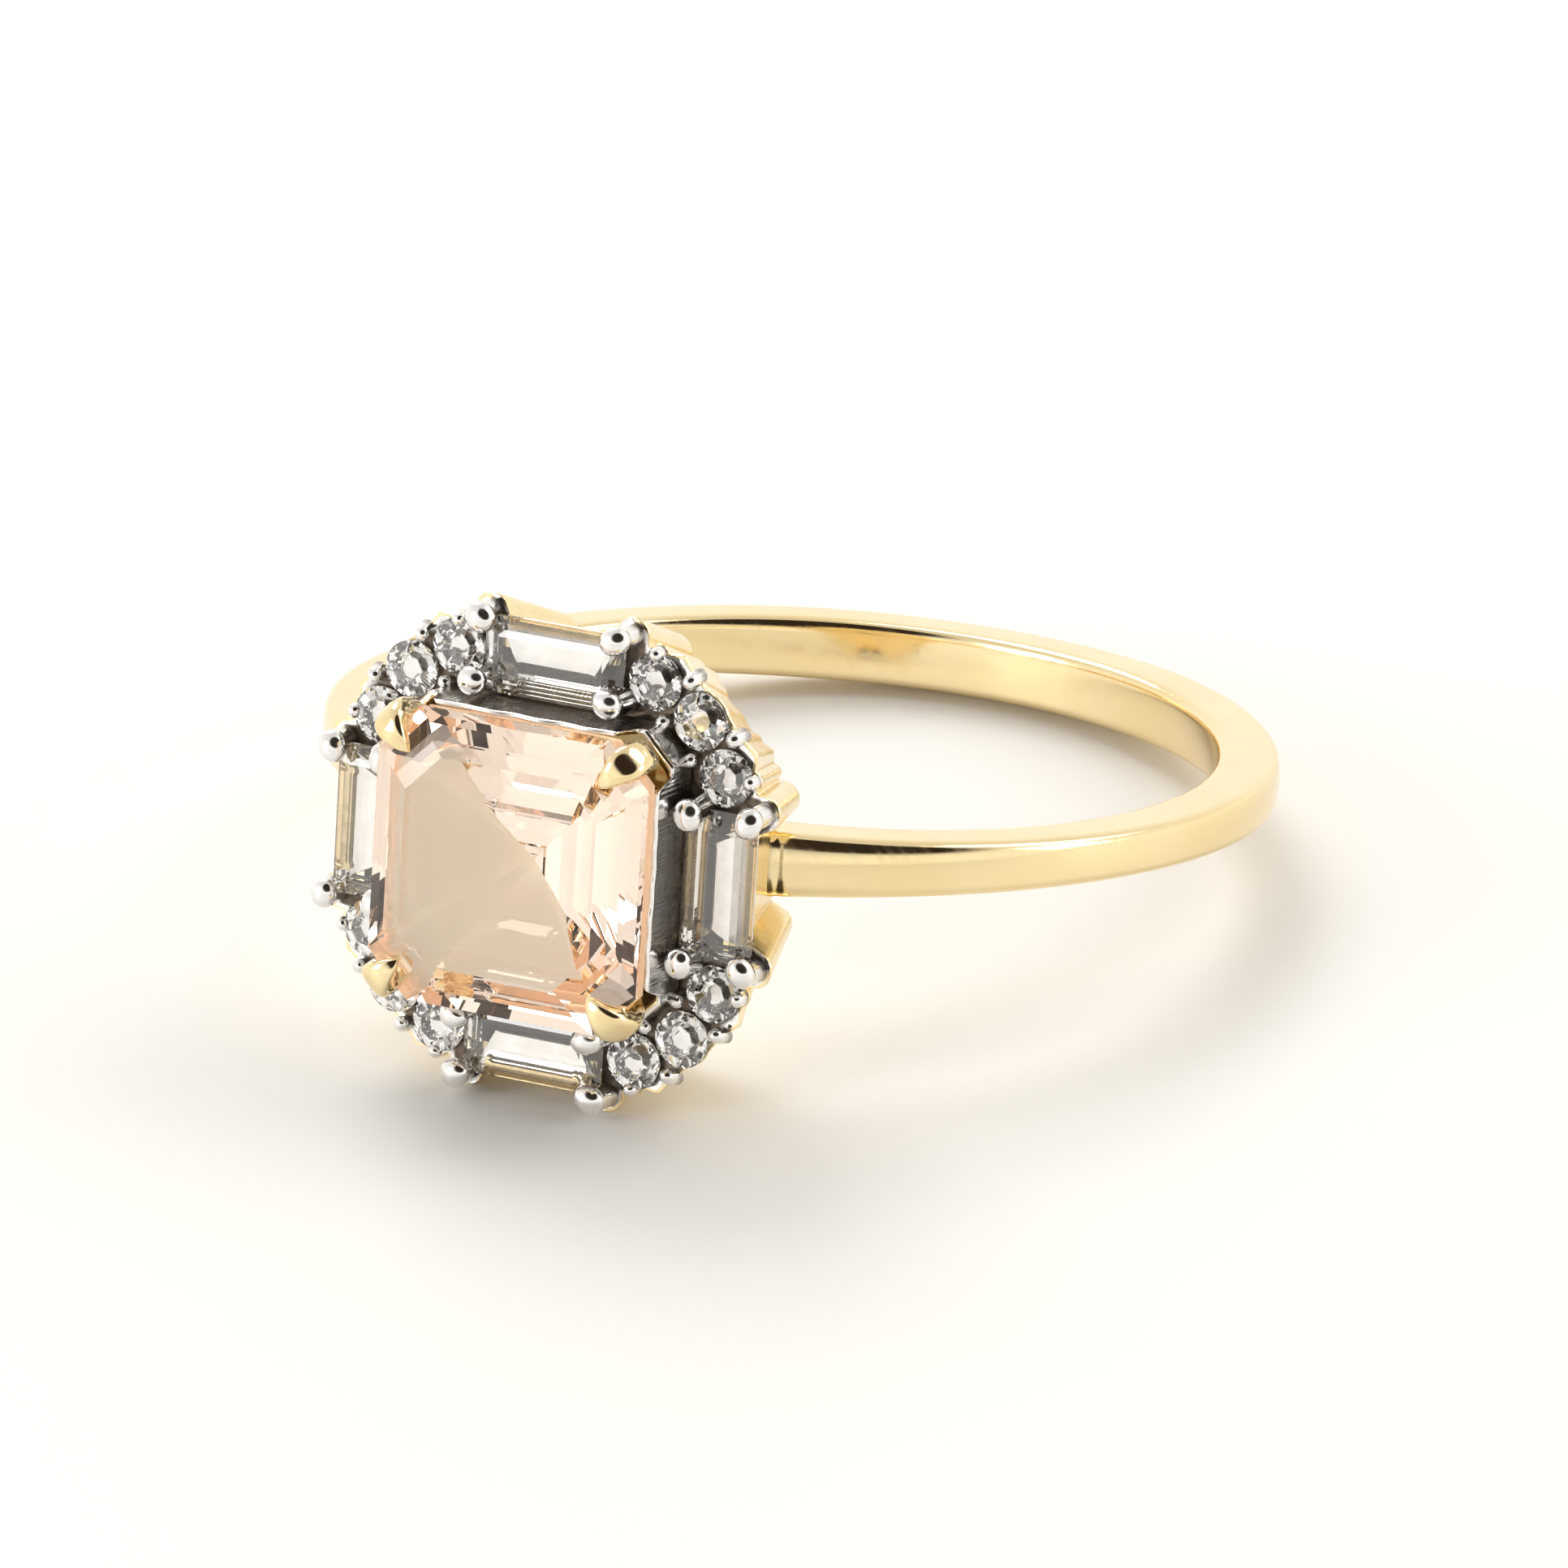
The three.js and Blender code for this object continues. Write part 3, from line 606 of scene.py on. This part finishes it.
def plateHeight(x, y):
    # Deck height less a soft-edged drop inside every seat, plus a ripple between them: the product of two
    # sines, each bent by a sine of the other coordinate. The drop is returned too, from 0 to 1.
    drop = np.zeros_like(x)
    for k in range(4):
        c, s = math.cos(-k * math.pi / 2), math.sin(-k * math.pi / 2)
        along, out = c * x - s * y, s * x + c * y - ringSizes["baguetteOut"]
        halfLong, halfWide = plateLook["baguetteHalf"]
        inside = np.minimum(halfLong - np.abs(along), halfWide - np.abs(out))
        drop = np.maximum(drop, smoothStep(inside, 0, plateLook["seatSlope"]))
    for cx, cy in quarterTurns([endRound, middleRound, lastRound]):
        inside = plateLook["roundSeat"] - np.hypot(x - cx, y - cy)
        drop = np.maximum(drop, smoothStep(inside, 0, plateLook["seatSlope"]))
    ripple = plateLook["ripple"] * np.sin(9 * x + 3 * np.sin(7 * y)) * np.sin(8 * y + 2 * np.sin(6 * x))
    return ringSizes["deck"] - plateLook["sunk"] - plateLook["seatDrop"] * drop + ripple * (1 - drop), drop


def makePlate():
    # Rings of points run from the opening out over the top, down the edge and back under; the reach of each
    # is a share of the way from the opening to the edge. Below, the plate tapers as the gallery's wall does.
    look = plateLook
    angle = roundAngles(look["around"])
    inner = octagonReach(angle, *[ringSizes[key] - look["underRim"] for key in ("rimSide", "rimDiagonal")])
    besideSide = np.minimum(np.abs(np.cos(angle)), np.abs(np.sin(angle))) < look["sideUnder"]
    outer = galleryReach(angle) - np.where(besideSide, look["insetSide"], look["inset"])
    share = np.linspace(0, 1, look["rings"])[:, None]
    reach = inner + (outer - inner) * share
    x, y = reach * np.cos(angle), reach * np.sin(angle)
    height, drop = plateHeight(x, y)
    lowest = np.where(reach > outer - look["ledgeTopWide"], look["ledge"] + look["ledgeStep"], 0)
    top = np.stack([x, y, np.maximum(height, lowest)], axis=-1)
    low = np.array([look["ledge"], look["ledge"], look["under"], look["under"]])[:, None]
    underReach = np.stack([outer, outer - look["ledgeWide"], outer - look["ledgeWide"], inner])
    underReach *= 1 - taperAt(angle) * (ringSizes["deck"] - low)
    under = polarPoints(underReach, angle, low)
    edge = smoothStep(reach - outer, *look["edgeFrom"])
    # recess: tarnish and painted shade, less towards the outer edge, none in the seats and full on the
    # underside
    recess = (look["recess"] - look["recessEdge"] * edge) * (1 - drop)
    recess = np.concatenate([recess, np.ones(underReach.shape)])
    return shell(np.concatenate([top, under]), wrapRows=True, recess=recess)


def makeBead(x, y, stretch, lean, rng):
    # A round dome on a short post, stretched away from the middle of the head. Lower points are moved
    # outwards by the lean times a power of their depth below the top.
    look = beadAt
    radius = look["radius"] * rng.uniform(*look["radiusSpread"])
    tall = look["height"] * rng.uniform(*look["heightSpread"])
    turn = np.linspace(0, math.pi / 2, look["domeSteps"])
    low, high = ringSizes["deck"] - look["sunk"], ringSizes["deck"] + tall
    profile = [(0, low), (radius, low), (radius * look["swell"], low + look["foot"])]
    profile += [(radius * math.cos(t), high - radius * look["dome"] * (1 - math.sin(t))) for t in turn]
    grid = np.array(revolved(profile, look["around"]))
    grid[..., 0] *= stretch
    height = (grid[..., 2] - low) / (high - low)
    grid[..., 0] += lean * (1 - height) ** 1.5
    grid = spun(grid, math.atan2(y, x))
    # recess: tarnish and painted shade at the bead's foot, fading out up its side
    recess = look["recess"] * (1 - smoothStep(height, *look["recessFade"]))
    return shell(grid + np.array([x, y, 0]), recess=recess)


beadRows = (       # places, stretch away from the middle of the head, lean of the foot outwards
    (outerBeads, 1.05, 0.09),
    (innerBeads, 1.1, -0.06),
    (endBeads, 0.95, 0.0),
)


def makeBeads():
    rng = np.random.default_rng(7)
    return [
        makeBead(x, y, stretch, lean, rng)
        for row, stretch, lean in beadRows
        for x, y in quarterTurns(row)
    ]


addPiece("halo_plate_and_beads", makeMesh("halo_plate_and_beads", [makePlate(), *makeBeads()]),
         whiteGold, ["halo_plate"], wallSharp)
print("halo made")


# Rim of the centre seat

rimLook = {
    "wall": 0.17, "foot": 10.93, "top": 12.3, "cornerTop": 11.72, "around": 1200,
    "topIn": 0.03, "thinner": 0.05,      # off the top and off the wall's thickness along the sides
    "ridge": 0.006, "ridges": 74,        # fine upright ridges on the outer face: depth, and waves along it
    "ridgesTo": 0.9,                     # share of the height
    "cornerFade": (0.42, 0.12), "waveFade": (0.5, 0.2),      # before the end of a side
    "recess": 0.55, "recessLost": 0.8, "recessInside": 0.2,
    "outerRows": ((0, 0), (0.12, 0.012), (0.3, 0.0), (0.5, 0.018), (0.7, 0.004), (0.88, 0.012), (0.96, 0.0)),
    "innerRows": (0.9, 0.6, 0.3, 0), "innerDraft": 0.05, "topRows": 7,
}


def makeRim():
    # A thin wall on the eight-sided plan. Its top waves by the sum of two sines of the place along the sides
    # and goes down to the corners in a smooth step. The ridges are a sine bent by a slower one.
    look = rimLook
    angle = roundAngles(look["around"])
    outer = octagonReach(angle, ringSizes["rimSide"], ringSizes["rimDiagonal"])
    short = ringSizes["rimDiagonal"] * root2 - ringSizes["rimSide"]
    x, y = outer * np.cos(angle), outer * np.sin(angle)
    along = np.minimum(np.abs(x), np.abs(y))
    wave = 0.022 * np.sin(5.3 * x + 2.1 * y) + 0.015 * np.sin(9.1 * y - 6.3 * x + 1)
    onSide = 1 - smoothStep(along, *(short - np.array(look["cornerFade"])))
    waving = 1 - smoothStep(along, *(short - np.array(look["waveFade"])))
    top = look["cornerTop"] + (look["top"] - look["cornerTop"]) * onSide + wave * waving - look["topIn"]
    thin = look["wall"] - look["thinner"] * onSide
    bent = look["ridges"] * (x + y) + 1.7 * np.sin(11 * (x - y))
    ridge = look["ridge"] * (1 + np.sin(bent)) * np.sin(4.3 * (x - y)) ** 2
    rows = []

    def heightAt(share):
        return look["foot"] + (top - look["foot"]) * share

    for share, inset in look["outerRows"]:
        textured = inset + ridge * (share < look["ridgesTo"])
        rows.append((outer - textured, heightAt(share), 1 - look["recessLost"] * share))
    for turn in np.linspace(0, math.pi, look["topRows"]):
        reach = outer - thin / 2 * (1 - math.cos(turn))
        rows.append((reach, top - thin / 2 * (1 - math.sin(turn)), 0))
    for share in look["innerRows"]:
        reach = outer - look["wall"] + look["innerDraft"] * share
        rows.append((reach, heightAt(share), look["recessInside"]))
    grid = np.stack([polarPoints(reach, angle, height) for reach, height, _ in rows])
    # recess: tarnish and painted shade, most at the foot of the outer face, none over the top and a little on
    # the inside
    recess = np.stack([np.full(len(angle), look["recess"] * deep) for _, _, deep in rows])
    return shell(grid, wrapRows=True, recess=recess)


cupLook = {
    "top": 12.2, "foot": 10.2, "wall": 0.1, "around": 480, "rings": 24, "plan": (1.0, 1.22),
    "blush": (0.7, 1.0),       # warmer between these shares of the height
    "reach": ((0, 0.02), (0.11, 0.4), (0.5, 1.62), (1, 2.84)),     # share of the height, reach inside
}


def makeCup():
    # The seat's wall drawn in under the stone: the eight-sided plan times a reach that straight lines between
    # the pairs in the dictionary give for each share of the height.
    look = cupLook
    angle = roundAngles(look["around"])
    plan = octagonReach(angle, *look["plan"])
    share = np.linspace(0, 1, look["rings"])[:, None]
    reach = np.interp(share, *np.array(look["reach"]).T)
    height = look["foot"] + (look["top"] - look["foot"]) * share
    inner = plan * reach
    outer = inner + look["wall"]
    blush = smoothStep(np.concatenate([share, share[::-1]]), *look["blush"])
    both = np.concatenate([inner, outer[::-1]]), angle, np.concatenate([height, height[::-1]])
    return shell(polarPoints(*both), wrapRows=True, recess=blush)


for name, make, material in (("cup", makeCup, satinWhite), ("wall", makeRim, whiteGold)):
    name = "centre_rim_" + name
    addPiece(name, makeMesh(name, [make()]), material, ["centre_rim"], wallSharp)


# Basket under the centre stone

basketLook = {"half": 1.85, "wire": 0.2, "height": 9.32, "around": 160, "wireSides": 20, "squareness": 4}


def makeBasket():
    # A round wire on a squared ring: the fourth powers of its two coordinates add up to the same everywhere.
    look = basketLook
    angle = roundAngles(look["around"])
    sums = np.abs(np.cos(angle)) ** look["squareness"] + np.abs(np.sin(angle)) ** look["squareness"]
    reach = sums ** (-1 / look["squareness"]) * (look["half"] - look["wire"])
    turn = roundAngles(look["wireSides"])[:, None]
    height = look["height"] + look["wire"] * np.sin(turn)
    return shell(polarPoints(reach + look["wire"] * np.cos(turn), angle, height), wrapRows=True)


addPiece("basket_ring", makeMesh("basket_ring", [makeBasket()]), castGold, ["centre_basket"])
print("rim and basket made")


# Claws

centreClawLook = {
    "path": (
        (2.3, 9.9), (2.98, 11.35), (3.66, 12.24), (3.74, 12.6), (3.64, 12.88), (3.36, 13.01), (2.98, 13.0),
    ),
    "wide": (0.3, 0.32, 0.34, 0.38, 0.38, 0.25, 0.06),
    "thick": (0.3, 0.32, 0.32, 0.3, 0.24, 0.17, 0.07),
    "square": 0.62,      # 1 gives an oval section, less a squarer one with a flat top
    "steps": 60, "around": 32, "smoothOver": 7, "wideSpread": (0.95, 1.02),
    "lastWide": (0.9, 0.75, 0.5, 0.2), "lastThick": (0.95, 0.85, 0.65, 0.3),      # shares kept at the point
}


def smoothed(values, count):
    # Mean of each value and its neighbours, count of them in all.
    return np.convolve(np.pad(values, count // 2, mode="edge"), np.ones(count) / count, "valid")


def makeCentreClaw(turn, rng):
    # A wire on a curve through the path, its sections square to the curve: cosine and sine to a power, with
    # their signs kept, times half the width and half the thickness. It widens, then runs out to a point.
    look = centreClawLook
    count = look["steps"]
    reach, height = curveThrough(look["path"], count).T
    keys = np.linspace(0, 1, len(look["wide"]))
    along = np.linspace(0, 1, count)
    wide = np.interp(along, keys, look["wide"]) * rng.uniform(*look["wideSpread"])
    thick = np.interp(along, keys, look["thick"])
    wide, thick = smoothed(wide, look["smoothOver"]), smoothed(thick, look["smoothOver"])
    wide[-len(look["lastWide"]):] *= look["lastWide"]
    thick[-len(look["lastThick"]):] *= look["lastThick"]
    stepR, stepH = np.gradient(reach), np.gradient(height)
    length = np.hypot(stepR, stepH)
    normalR, normalH = stepH / length, -stepR / length
    angle = roundAngles(look["around"])
    side = wide[:, None] * signedPower(np.cos(angle), look["square"])
    off = thick[:, None] * signedPower(np.sin(angle), look["square"])
    out = reach[:, None] + off * normalR[:, None]
    up = height[:, None] + off * normalH[:, None]
    grid = np.stack([(out + side) / root2, (out - side) / root2, up], axis=-1)
    return shell(spun(closeEnds(grid), turn))


baguetteClawLook = {
    "radius": 0.305, "inner": 1.05, "outer": 0.85, "foot": 10.88, "lean": 0.1, "squash": 0.8,
    "egg": 0.22, "eggFade": (0.35, 0.7),      # the side over the stone is drawn out by this share
    "post": 0.84, "neck": 0.62, "domeSteps": 16, "domeFrom": -0.5, "around": 36,
    "recess": 0.55, "recessFade": (0.2, 0.55),
    "radiusSpread": (0.93, 1.0), "heightSpread": (0.95, 0.995),
}


def makeBaguetteClaw(x, y, tall, turn, rng):
    # A dome that swells over its post, drawn out on the stone's side and leant towards the stone by the
    # square of the height.
    look = baguetteClawLook
    radius = look["radius"] * rng.uniform(*look["radiusSpread"])
    high = ringSizes["deck"] + tall * rng.uniform(*look["heightSpread"])
    post, middle = radius * look["post"], high - radius * look["squash"]
    profile = [(0, look["foot"]), (post, look["foot"]), (post, middle - radius * look["neck"])]
    for t in np.linspace(look["domeFrom"], math.pi / 2, look["domeSteps"]):
        profile.append((radius * math.cos(t), middle + radius * look["squash"] * math.sin(t)))
    grid = np.array(revolved(profile, look["around"]))
    height = (grid[..., 2] - look["foot"]) / (high - look["foot"])
    towards = np.array([-x, ringSizes["baguetteOut"] - y])
    towards = towards / np.linalg.norm(towards)
    ahead = np.maximum(grid[..., :2] @ towards, 0) * look["egg"] * smoothStep(height, *look["eggFade"])
    grid[..., :2] += ahead[..., None] * towards
    grid[..., :2] += (look["lean"] * height ** 2)[..., None] * towards
    # recess: tarnish and painted shade at the foot of the claw, fading out up its side
    recess = look["recess"] * (1 - smoothStep(height, *look["recessFade"]))
    return shell(spun(grid + np.array([x, y, 0]), turn), recess=recess)


quarters = (("north", 0), ("west", math.pi / 2), ("south", math.pi), ("east", -math.pi / 2))
corners = ("north_east", "north_west", "south_west", "south_east")
clawRng = np.random.default_rng(11)
for (side, turn), corner in zip(quarters, corners):
    mesh = makeMesh("centre_claw_tip_" + corner, [makeCentreClaw(turn, clawRng)])
    addPiece("centre_claw_tip_" + corner, mesh, clawGold, ["centre_claw_" + corner], clawSharp)
    for row in ("inner", "outer"):
        for hand, sign in (("left", -1), ("right", 1)):
            name = f"{side}_{row}_{hand}"
            tall = baguetteClawLook[row]
            part = makeBaguetteClaw(sign * clawAt["along"], clawAt[row], tall, turn, clawRng)
            addPiece("ball_claw_" + name, makeMesh("ball_claw_" + name, [part]),
                     whiteGold, ["baguette_claw_" + name], clawSharp)
print("claws made")


# Stones: each is the space inside a set of facet planes

def facet(azimuth, reach, height, slope):
    # Plane through the point at that reach and height, rising inwards by slope for each unit; a negative
    # slope faces down.
    tilt = math.atan(slope)
    lift = math.cos(tilt) * (1 if slope >= 0 else -1)
    flat = abs(math.sin(tilt))
    normal = np.array([flat * math.cos(azimuth), flat * math.sin(azimuth), lift])
    return np.append(normal, flat * reach + lift * height)


def level(height, up):
    return np.array([0, 0, up, up * height], float)


def wallAt(azimuth, reach):
    return np.array([math.cos(azimuth), math.sin(azimuth), 0, reach])


leastSolvable, planeSlack, cornerPlaces, flatAngle = 1e-6, 1e-6, 5, 0.004


def makeStone(name, planes, centre, turn, spin=0.0):
    # Every corner is where three planes meet inside all the others; their hull gives the facets.
    planes = np.array(planes)
    chosen = np.array(list(combinations(range(len(planes)), 3)))
    sets = planes[chosen]
    sets = sets[np.abs(np.linalg.det(sets[:, :, :3])) > leastSolvable]
    corners = np.linalg.solve(sets[:, :, :3], sets[:, :, 3:])[..., 0]
    inside = np.all(corners @ planes[:, :3].T <= planes[:, 3] + planeSlack, axis=1)
    corners = np.unique(np.round(corners[inside], cornerPlaces), axis=0)
    points = toFrame(spun(spun(corners, spin) + np.asarray(centre), turn))
    mesh = bpy.data.meshes.new(name)
    bm = bmesh.new()
    for point in points:
        bm.verts.new(point)
    hull = bmesh.ops.convex_hull(bm, input=bm.verts)
    within = [g for g in hull["geom_interior"] if isinstance(g, bmesh.types.BMVert)]
    bmesh.ops.delete(bm, geom=within, context="VERTS")
    bmesh.ops.dissolve_limit(bm, angle_limit=flatAngle, verts=bm.verts, edges=bm.edges)
    bmesh.ops.recalc_face_normals(bm, faces=bm.faces)
    bm.to_mesh(mesh)
    bm.free()
    return mesh


centreCut = {
    "half": 2.99, "crop": 0.9,
    "crown": ((2.99, 0.03, 0.60), (2.66, 0.22, 0.47), (2.40, 0.34, 0.36)),       # reach, height, slope
    "cornerCrown": ((3.58, 0.03, 0.42), (2.95, 0.31, 0.27)),
    "table": 0.44,
    "pavilion": ((2.99, -0.03, -1.25), (2.62, -0.4925, -0.86), (1.95, -1.0687, -0.68), (1.1, -1.6467, -0.54)),
    "cornerPavilion": ((3.58, -0.03, -0.95), (2.75, -0.85, -0.62)),
    "height": 12.6,
}


def stepCutPlanes(cut):
    planes = [level(cut["table"], 1)]
    cornerReach = (2 * cut["half"] - cut["crop"]) / root2
    for k in range(4):
        flat, diagonal = k * math.pi / 2, (k + 0.5) * math.pi / 2
        planes += [wallAt(flat, cut["half"]), wallAt(diagonal, cornerReach)]
        planes += [facet(flat, *step) for step in cut["crown"] + cut["pavilion"]]
        planes += [facet(diagonal, *step) for step in cut["cornerCrown"] + cut["cornerPavilion"]]
    return planes


centreMesh = makeStone("centre_stone_cut", stepCutPlanes(centreCut), (0, 0, centreCut["height"]), 0)
addPiece("centre_stone_cut", centreMesh, peachStone, ["centre_stone"], everyEdge)

baguetteCut = {
    "half": (1.545, 0.795), "table": 0.235, "bottom": -0.66, "height": 11.07,
    "crown": ((0.0, 0.04, 0.72), (0.14, 0.14, 0.48), (0.27, 0.2, 0.27)),     # inset, height, slope
    "pavilion": ((0.0, -0.01, -1.35), (0.14, -0.2, -0.98), (0.36, -0.415, -0.76)),
}


def baguettePlanes(cut):
    # Long sides and short ends take the same steps in from the edge.
    planes = [level(cut["table"], 1), level(cut["bottom"], -1)]
    for k in range(4):
        azimuth, edge = k * math.pi / 2, cut["half"][k % 2]
        planes.append(wallAt(azimuth, edge))
        for inset, height, slope in cut["crown"] + cut["pavilion"]:
            planes.append(facet(azimuth, edge - inset, height, slope))
    return planes


brilliantCut = {
    "radius": 0.577, "girdle": 0.012, "table": 0.178, "height": 11.0,
    "mainCrown": 0.62, "starCrown": 0.40, "halfCrown": 0.80, "starAt": (0.67, 0.86),
    "mainPavilion": -0.80, "halfPavilion": -0.92, "culet": -0.455,
}


def brilliantPlanes(cut):
    # Eight main facets each way, sixteen halves beside the girdle and eight stars round the table.
    planes = [level(cut["table"], 1), level(cut["culet"], -1)]
    radius, girdle = cut["radius"], cut["girdle"]
    starReach, starHeight = radius * cut["starAt"][0], cut["table"] * cut["starAt"][1]
    for k in range(8):
        main, star = k * math.pi / 4, (k + 0.5) * math.pi / 4
        planes.append(facet(main, radius, girdle, cut["mainCrown"]))
        planes.append(facet(star, starReach, starHeight, cut["starCrown"]))
        planes.append(facet(main, radius, -girdle, cut["mainPavilion"]))
    for k in range(16):
        half = (k + 0.5) * math.pi / 8
        planes.append(facet(half, radius, girdle, cut["halfCrown"]))
        planes.append(facet(half, radius, -girdle, cut["halfPavilion"]))
    for k in range(32):
        planes.append(wallAt(k * math.pi / 16, radius))
    return planes


stoneRng = np.random.default_rng(23)
brilliant = brilliantPlanes(brilliantCut)
for (side, turn), corner in zip(quarters, corners):
    centre = (0, ringSizes["baguetteOut"], baguetteCut["height"])
    mesh = makeStone("baguette_cut_" + side, baguettePlanes(baguetteCut), centre, turn)
    addPiece("baguette_cut_" + side, mesh, baguetteStone, ["baguette_" + side], everyEdge)
    for place, (x, y) in (("first", endRound), ("middle", middleRound), ("last", lastRound)):
        name = f"{corner}_{place}"
        centre = (x, y, brilliantCut["height"])
        mesh = makeStone("brilliant_" + name, brilliant, centre, turn, stoneRng.uniform(0, math.pi / 4))
        addPiece("brilliant_" + name, mesh, clearStone, ["round_stone_" + name], everyEdge)
print("stones made")


# Floor, light and camera

floorLook = {
    "half": 1.5, "colour": (0.92, 0.91, 0.885), "shade": (0.9, 0.89, 0.86), "rough": 0.6,
    "cloudScale": 12, "cloudDetail": 2,
}
studio = {
    "bright": (1.0, 0.98, 0.94), "upper": (0.70, 0.675, 0.64), "strength": 1.14,
    "dark": (0.03, 0.022, 0.018), "darkAzimuth": 34, "darkElevation": 44, "darkWide": 0.66, "darkTall": 0.58,
    "darkEdge": (0.86, 1.06), "behindEdge": (0.0, 0.2), "upperEdge": (0.1, 0.95),
    "lamps": (       # name, place, size, power
        ("window", (-0.30, 0.25, 0.40), 0.30, 1.1),
        ("fill", (0.30, 0.22, 0.40), 0.30, 0.5),
        ("frontCard", (-0.30, -0.36, 0.16), 0.20, 0.6),
        ("sideCard", (0.45, 0.08, 0.16), 0.16, 0.3),
    ),
}
cameraLook = {
    "azimuth": 28.40, "elevation": 25.0, "lean": 2.364, "distance": 0.250, "lens": 280.6, "sensor": 36,
    "clip": (0.01, 10),
    "aim": (-0.19, 1.517, 1.987),       # row frame, millimetres
}


def direction(azimuth, elevation):
    # Azimuth 0 is towards -Y and 90 towards +X.
    a, e = math.radians(azimuth), math.radians(elevation)
    return Vector((math.sin(a) * math.cos(e), -math.cos(a) * math.cos(e), math.sin(e)))


def makeFloor():
    half = floorLook["half"]
    mesh = bpy.data.meshes.new("floor")
    corners = [(-half, -half, 0), (half, -half, 0), (half, half, 0), (-half, half, 0)]
    mesh.from_pydata(corners, [], [(0, 1, 2, 3)])
    floor = bpy.data.objects.new("floor", mesh)
    bpy.context.scene.collection.objects.link(floor)
    material, nodes, links, shader = newMaterial("paleFloor")
    soft = noiseAt(nodes, links, floorLook["cloudScale"], floorLook["cloudDetail"])
    links.new(blendColours(nodes, links, soft.outputs["Fac"], floorLook["colour"], floorLook["shade"]),
              shader.inputs["Base Color"])
    shader.inputs["Roughness"].default_value = floorLook["rough"]
    mesh.materials.append(material)


def makeWorld():
    # An even pale room with one soft-edged dark side, as wide and tall as the studio dictionary says.
    world = bpy.data.worlds.new("studio")
    bpy.context.scene.world = world
    world.use_nodes = True
    nodes, links = world.node_tree.nodes, world.node_tree.links
    where = nodes.new("ShaderNodeTexCoord")
    middle = direction(studio["darkAzimuth"], studio["darkElevation"])
    right = middle.cross(Vector((0, 0, 1))).normalized() * -1
    up = right.cross(middle).normalized()

    def along(axis):
        node = addNode(nodes, "ShaderNodeVectorMath", operation="DOT_PRODUCT")
        links.new(where.outputs["Generated"], node.inputs[0])
        node.inputs[1].default_value = axis
        return node.outputs["Value"]

    joined = nodes.new("ShaderNodeCombineXYZ")
    links.new(along(right / studio["darkWide"]), joined.inputs[0])
    links.new(along(up / studio["darkTall"]), joined.inputs[1])
    length = addNode(nodes, "ShaderNodeVectorMath", operation="LENGTH")
    links.new(joined.outputs[0], length.inputs[0])
    outside = ramp(nodes, links, length.outputs["Value"], 0, 1, *studio["darkEdge"])
    behind = ramp(nodes, links, along(middle), 1, 0, *studio["behindEdge"])
    most = addNode(nodes, "ShaderNodeMath", operation="MAXIMUM")
    links.new(outside, most.inputs[0])
    links.new(behind, most.inputs[1])
    high = ramp(nodes, links, along(Vector((0, 0, 1))), 0, 1, *studio["upperEdge"])
    room = blendColours(nodes, links, high, studio["bright"], studio["upper"])
    colour = blendColours(nodes, links, most.outputs[0], studio["dark"], room)
    background = nodes["Background"]
    links.new(colour, background.inputs["Color"])
    background.inputs["Strength"].default_value = studio["strength"]


def makeLamps():
    for name, place, size, power in studio["lamps"]:
        light = bpy.data.lights.new(name, "AREA")
        light.size, light.energy = size, power
        lamp = bpy.data.objects.new(name, light)
        lamp.location = place
        lamp.rotation_mode = "QUATERNION"
        lamp.rotation_quaternion = (-Vector(place)).to_track_quat("-Z", "Y")
        bpy.context.scene.collection.objects.link(lamp)


def makeCamera():
    back = direction(cameraLook["azimuth"], cameraLook["elevation"])
    data = bpy.data.cameras.new("camera")
    data.lens, data.sensor_width = cameraLook["lens"], cameraLook["sensor"]
    data.clip_start, data.clip_end = cameraLook["clip"]
    camera = bpy.data.objects.new("camera", data)
    camera.location = Vector(cameraLook["aim"]) * mm + back * cameraLook["distance"]
    camera.rotation_mode = "QUATERNION"
    lean = Matrix.Rotation(-math.radians(cameraLook["lean"]), 4, "Z").to_quaternion()
    camera.rotation_quaternion = (-back).to_track_quat("-Z", "Y") @ lean
    bpy.context.scene.collection.objects.link(camera)
    bpy.context.scene.camera = camera


makeFloor()
makeWorld()
makeLamps()
makeCamera()
scene = bpy.context.scene
scene.view_settings.view_transform = "Standard"
scene.cycles.max_bounces = 20          # light crosses the stones many times
scene.cycles.glossy_bounces = 12
scene.cycles.transmission_bounces = 16
print("studio made")
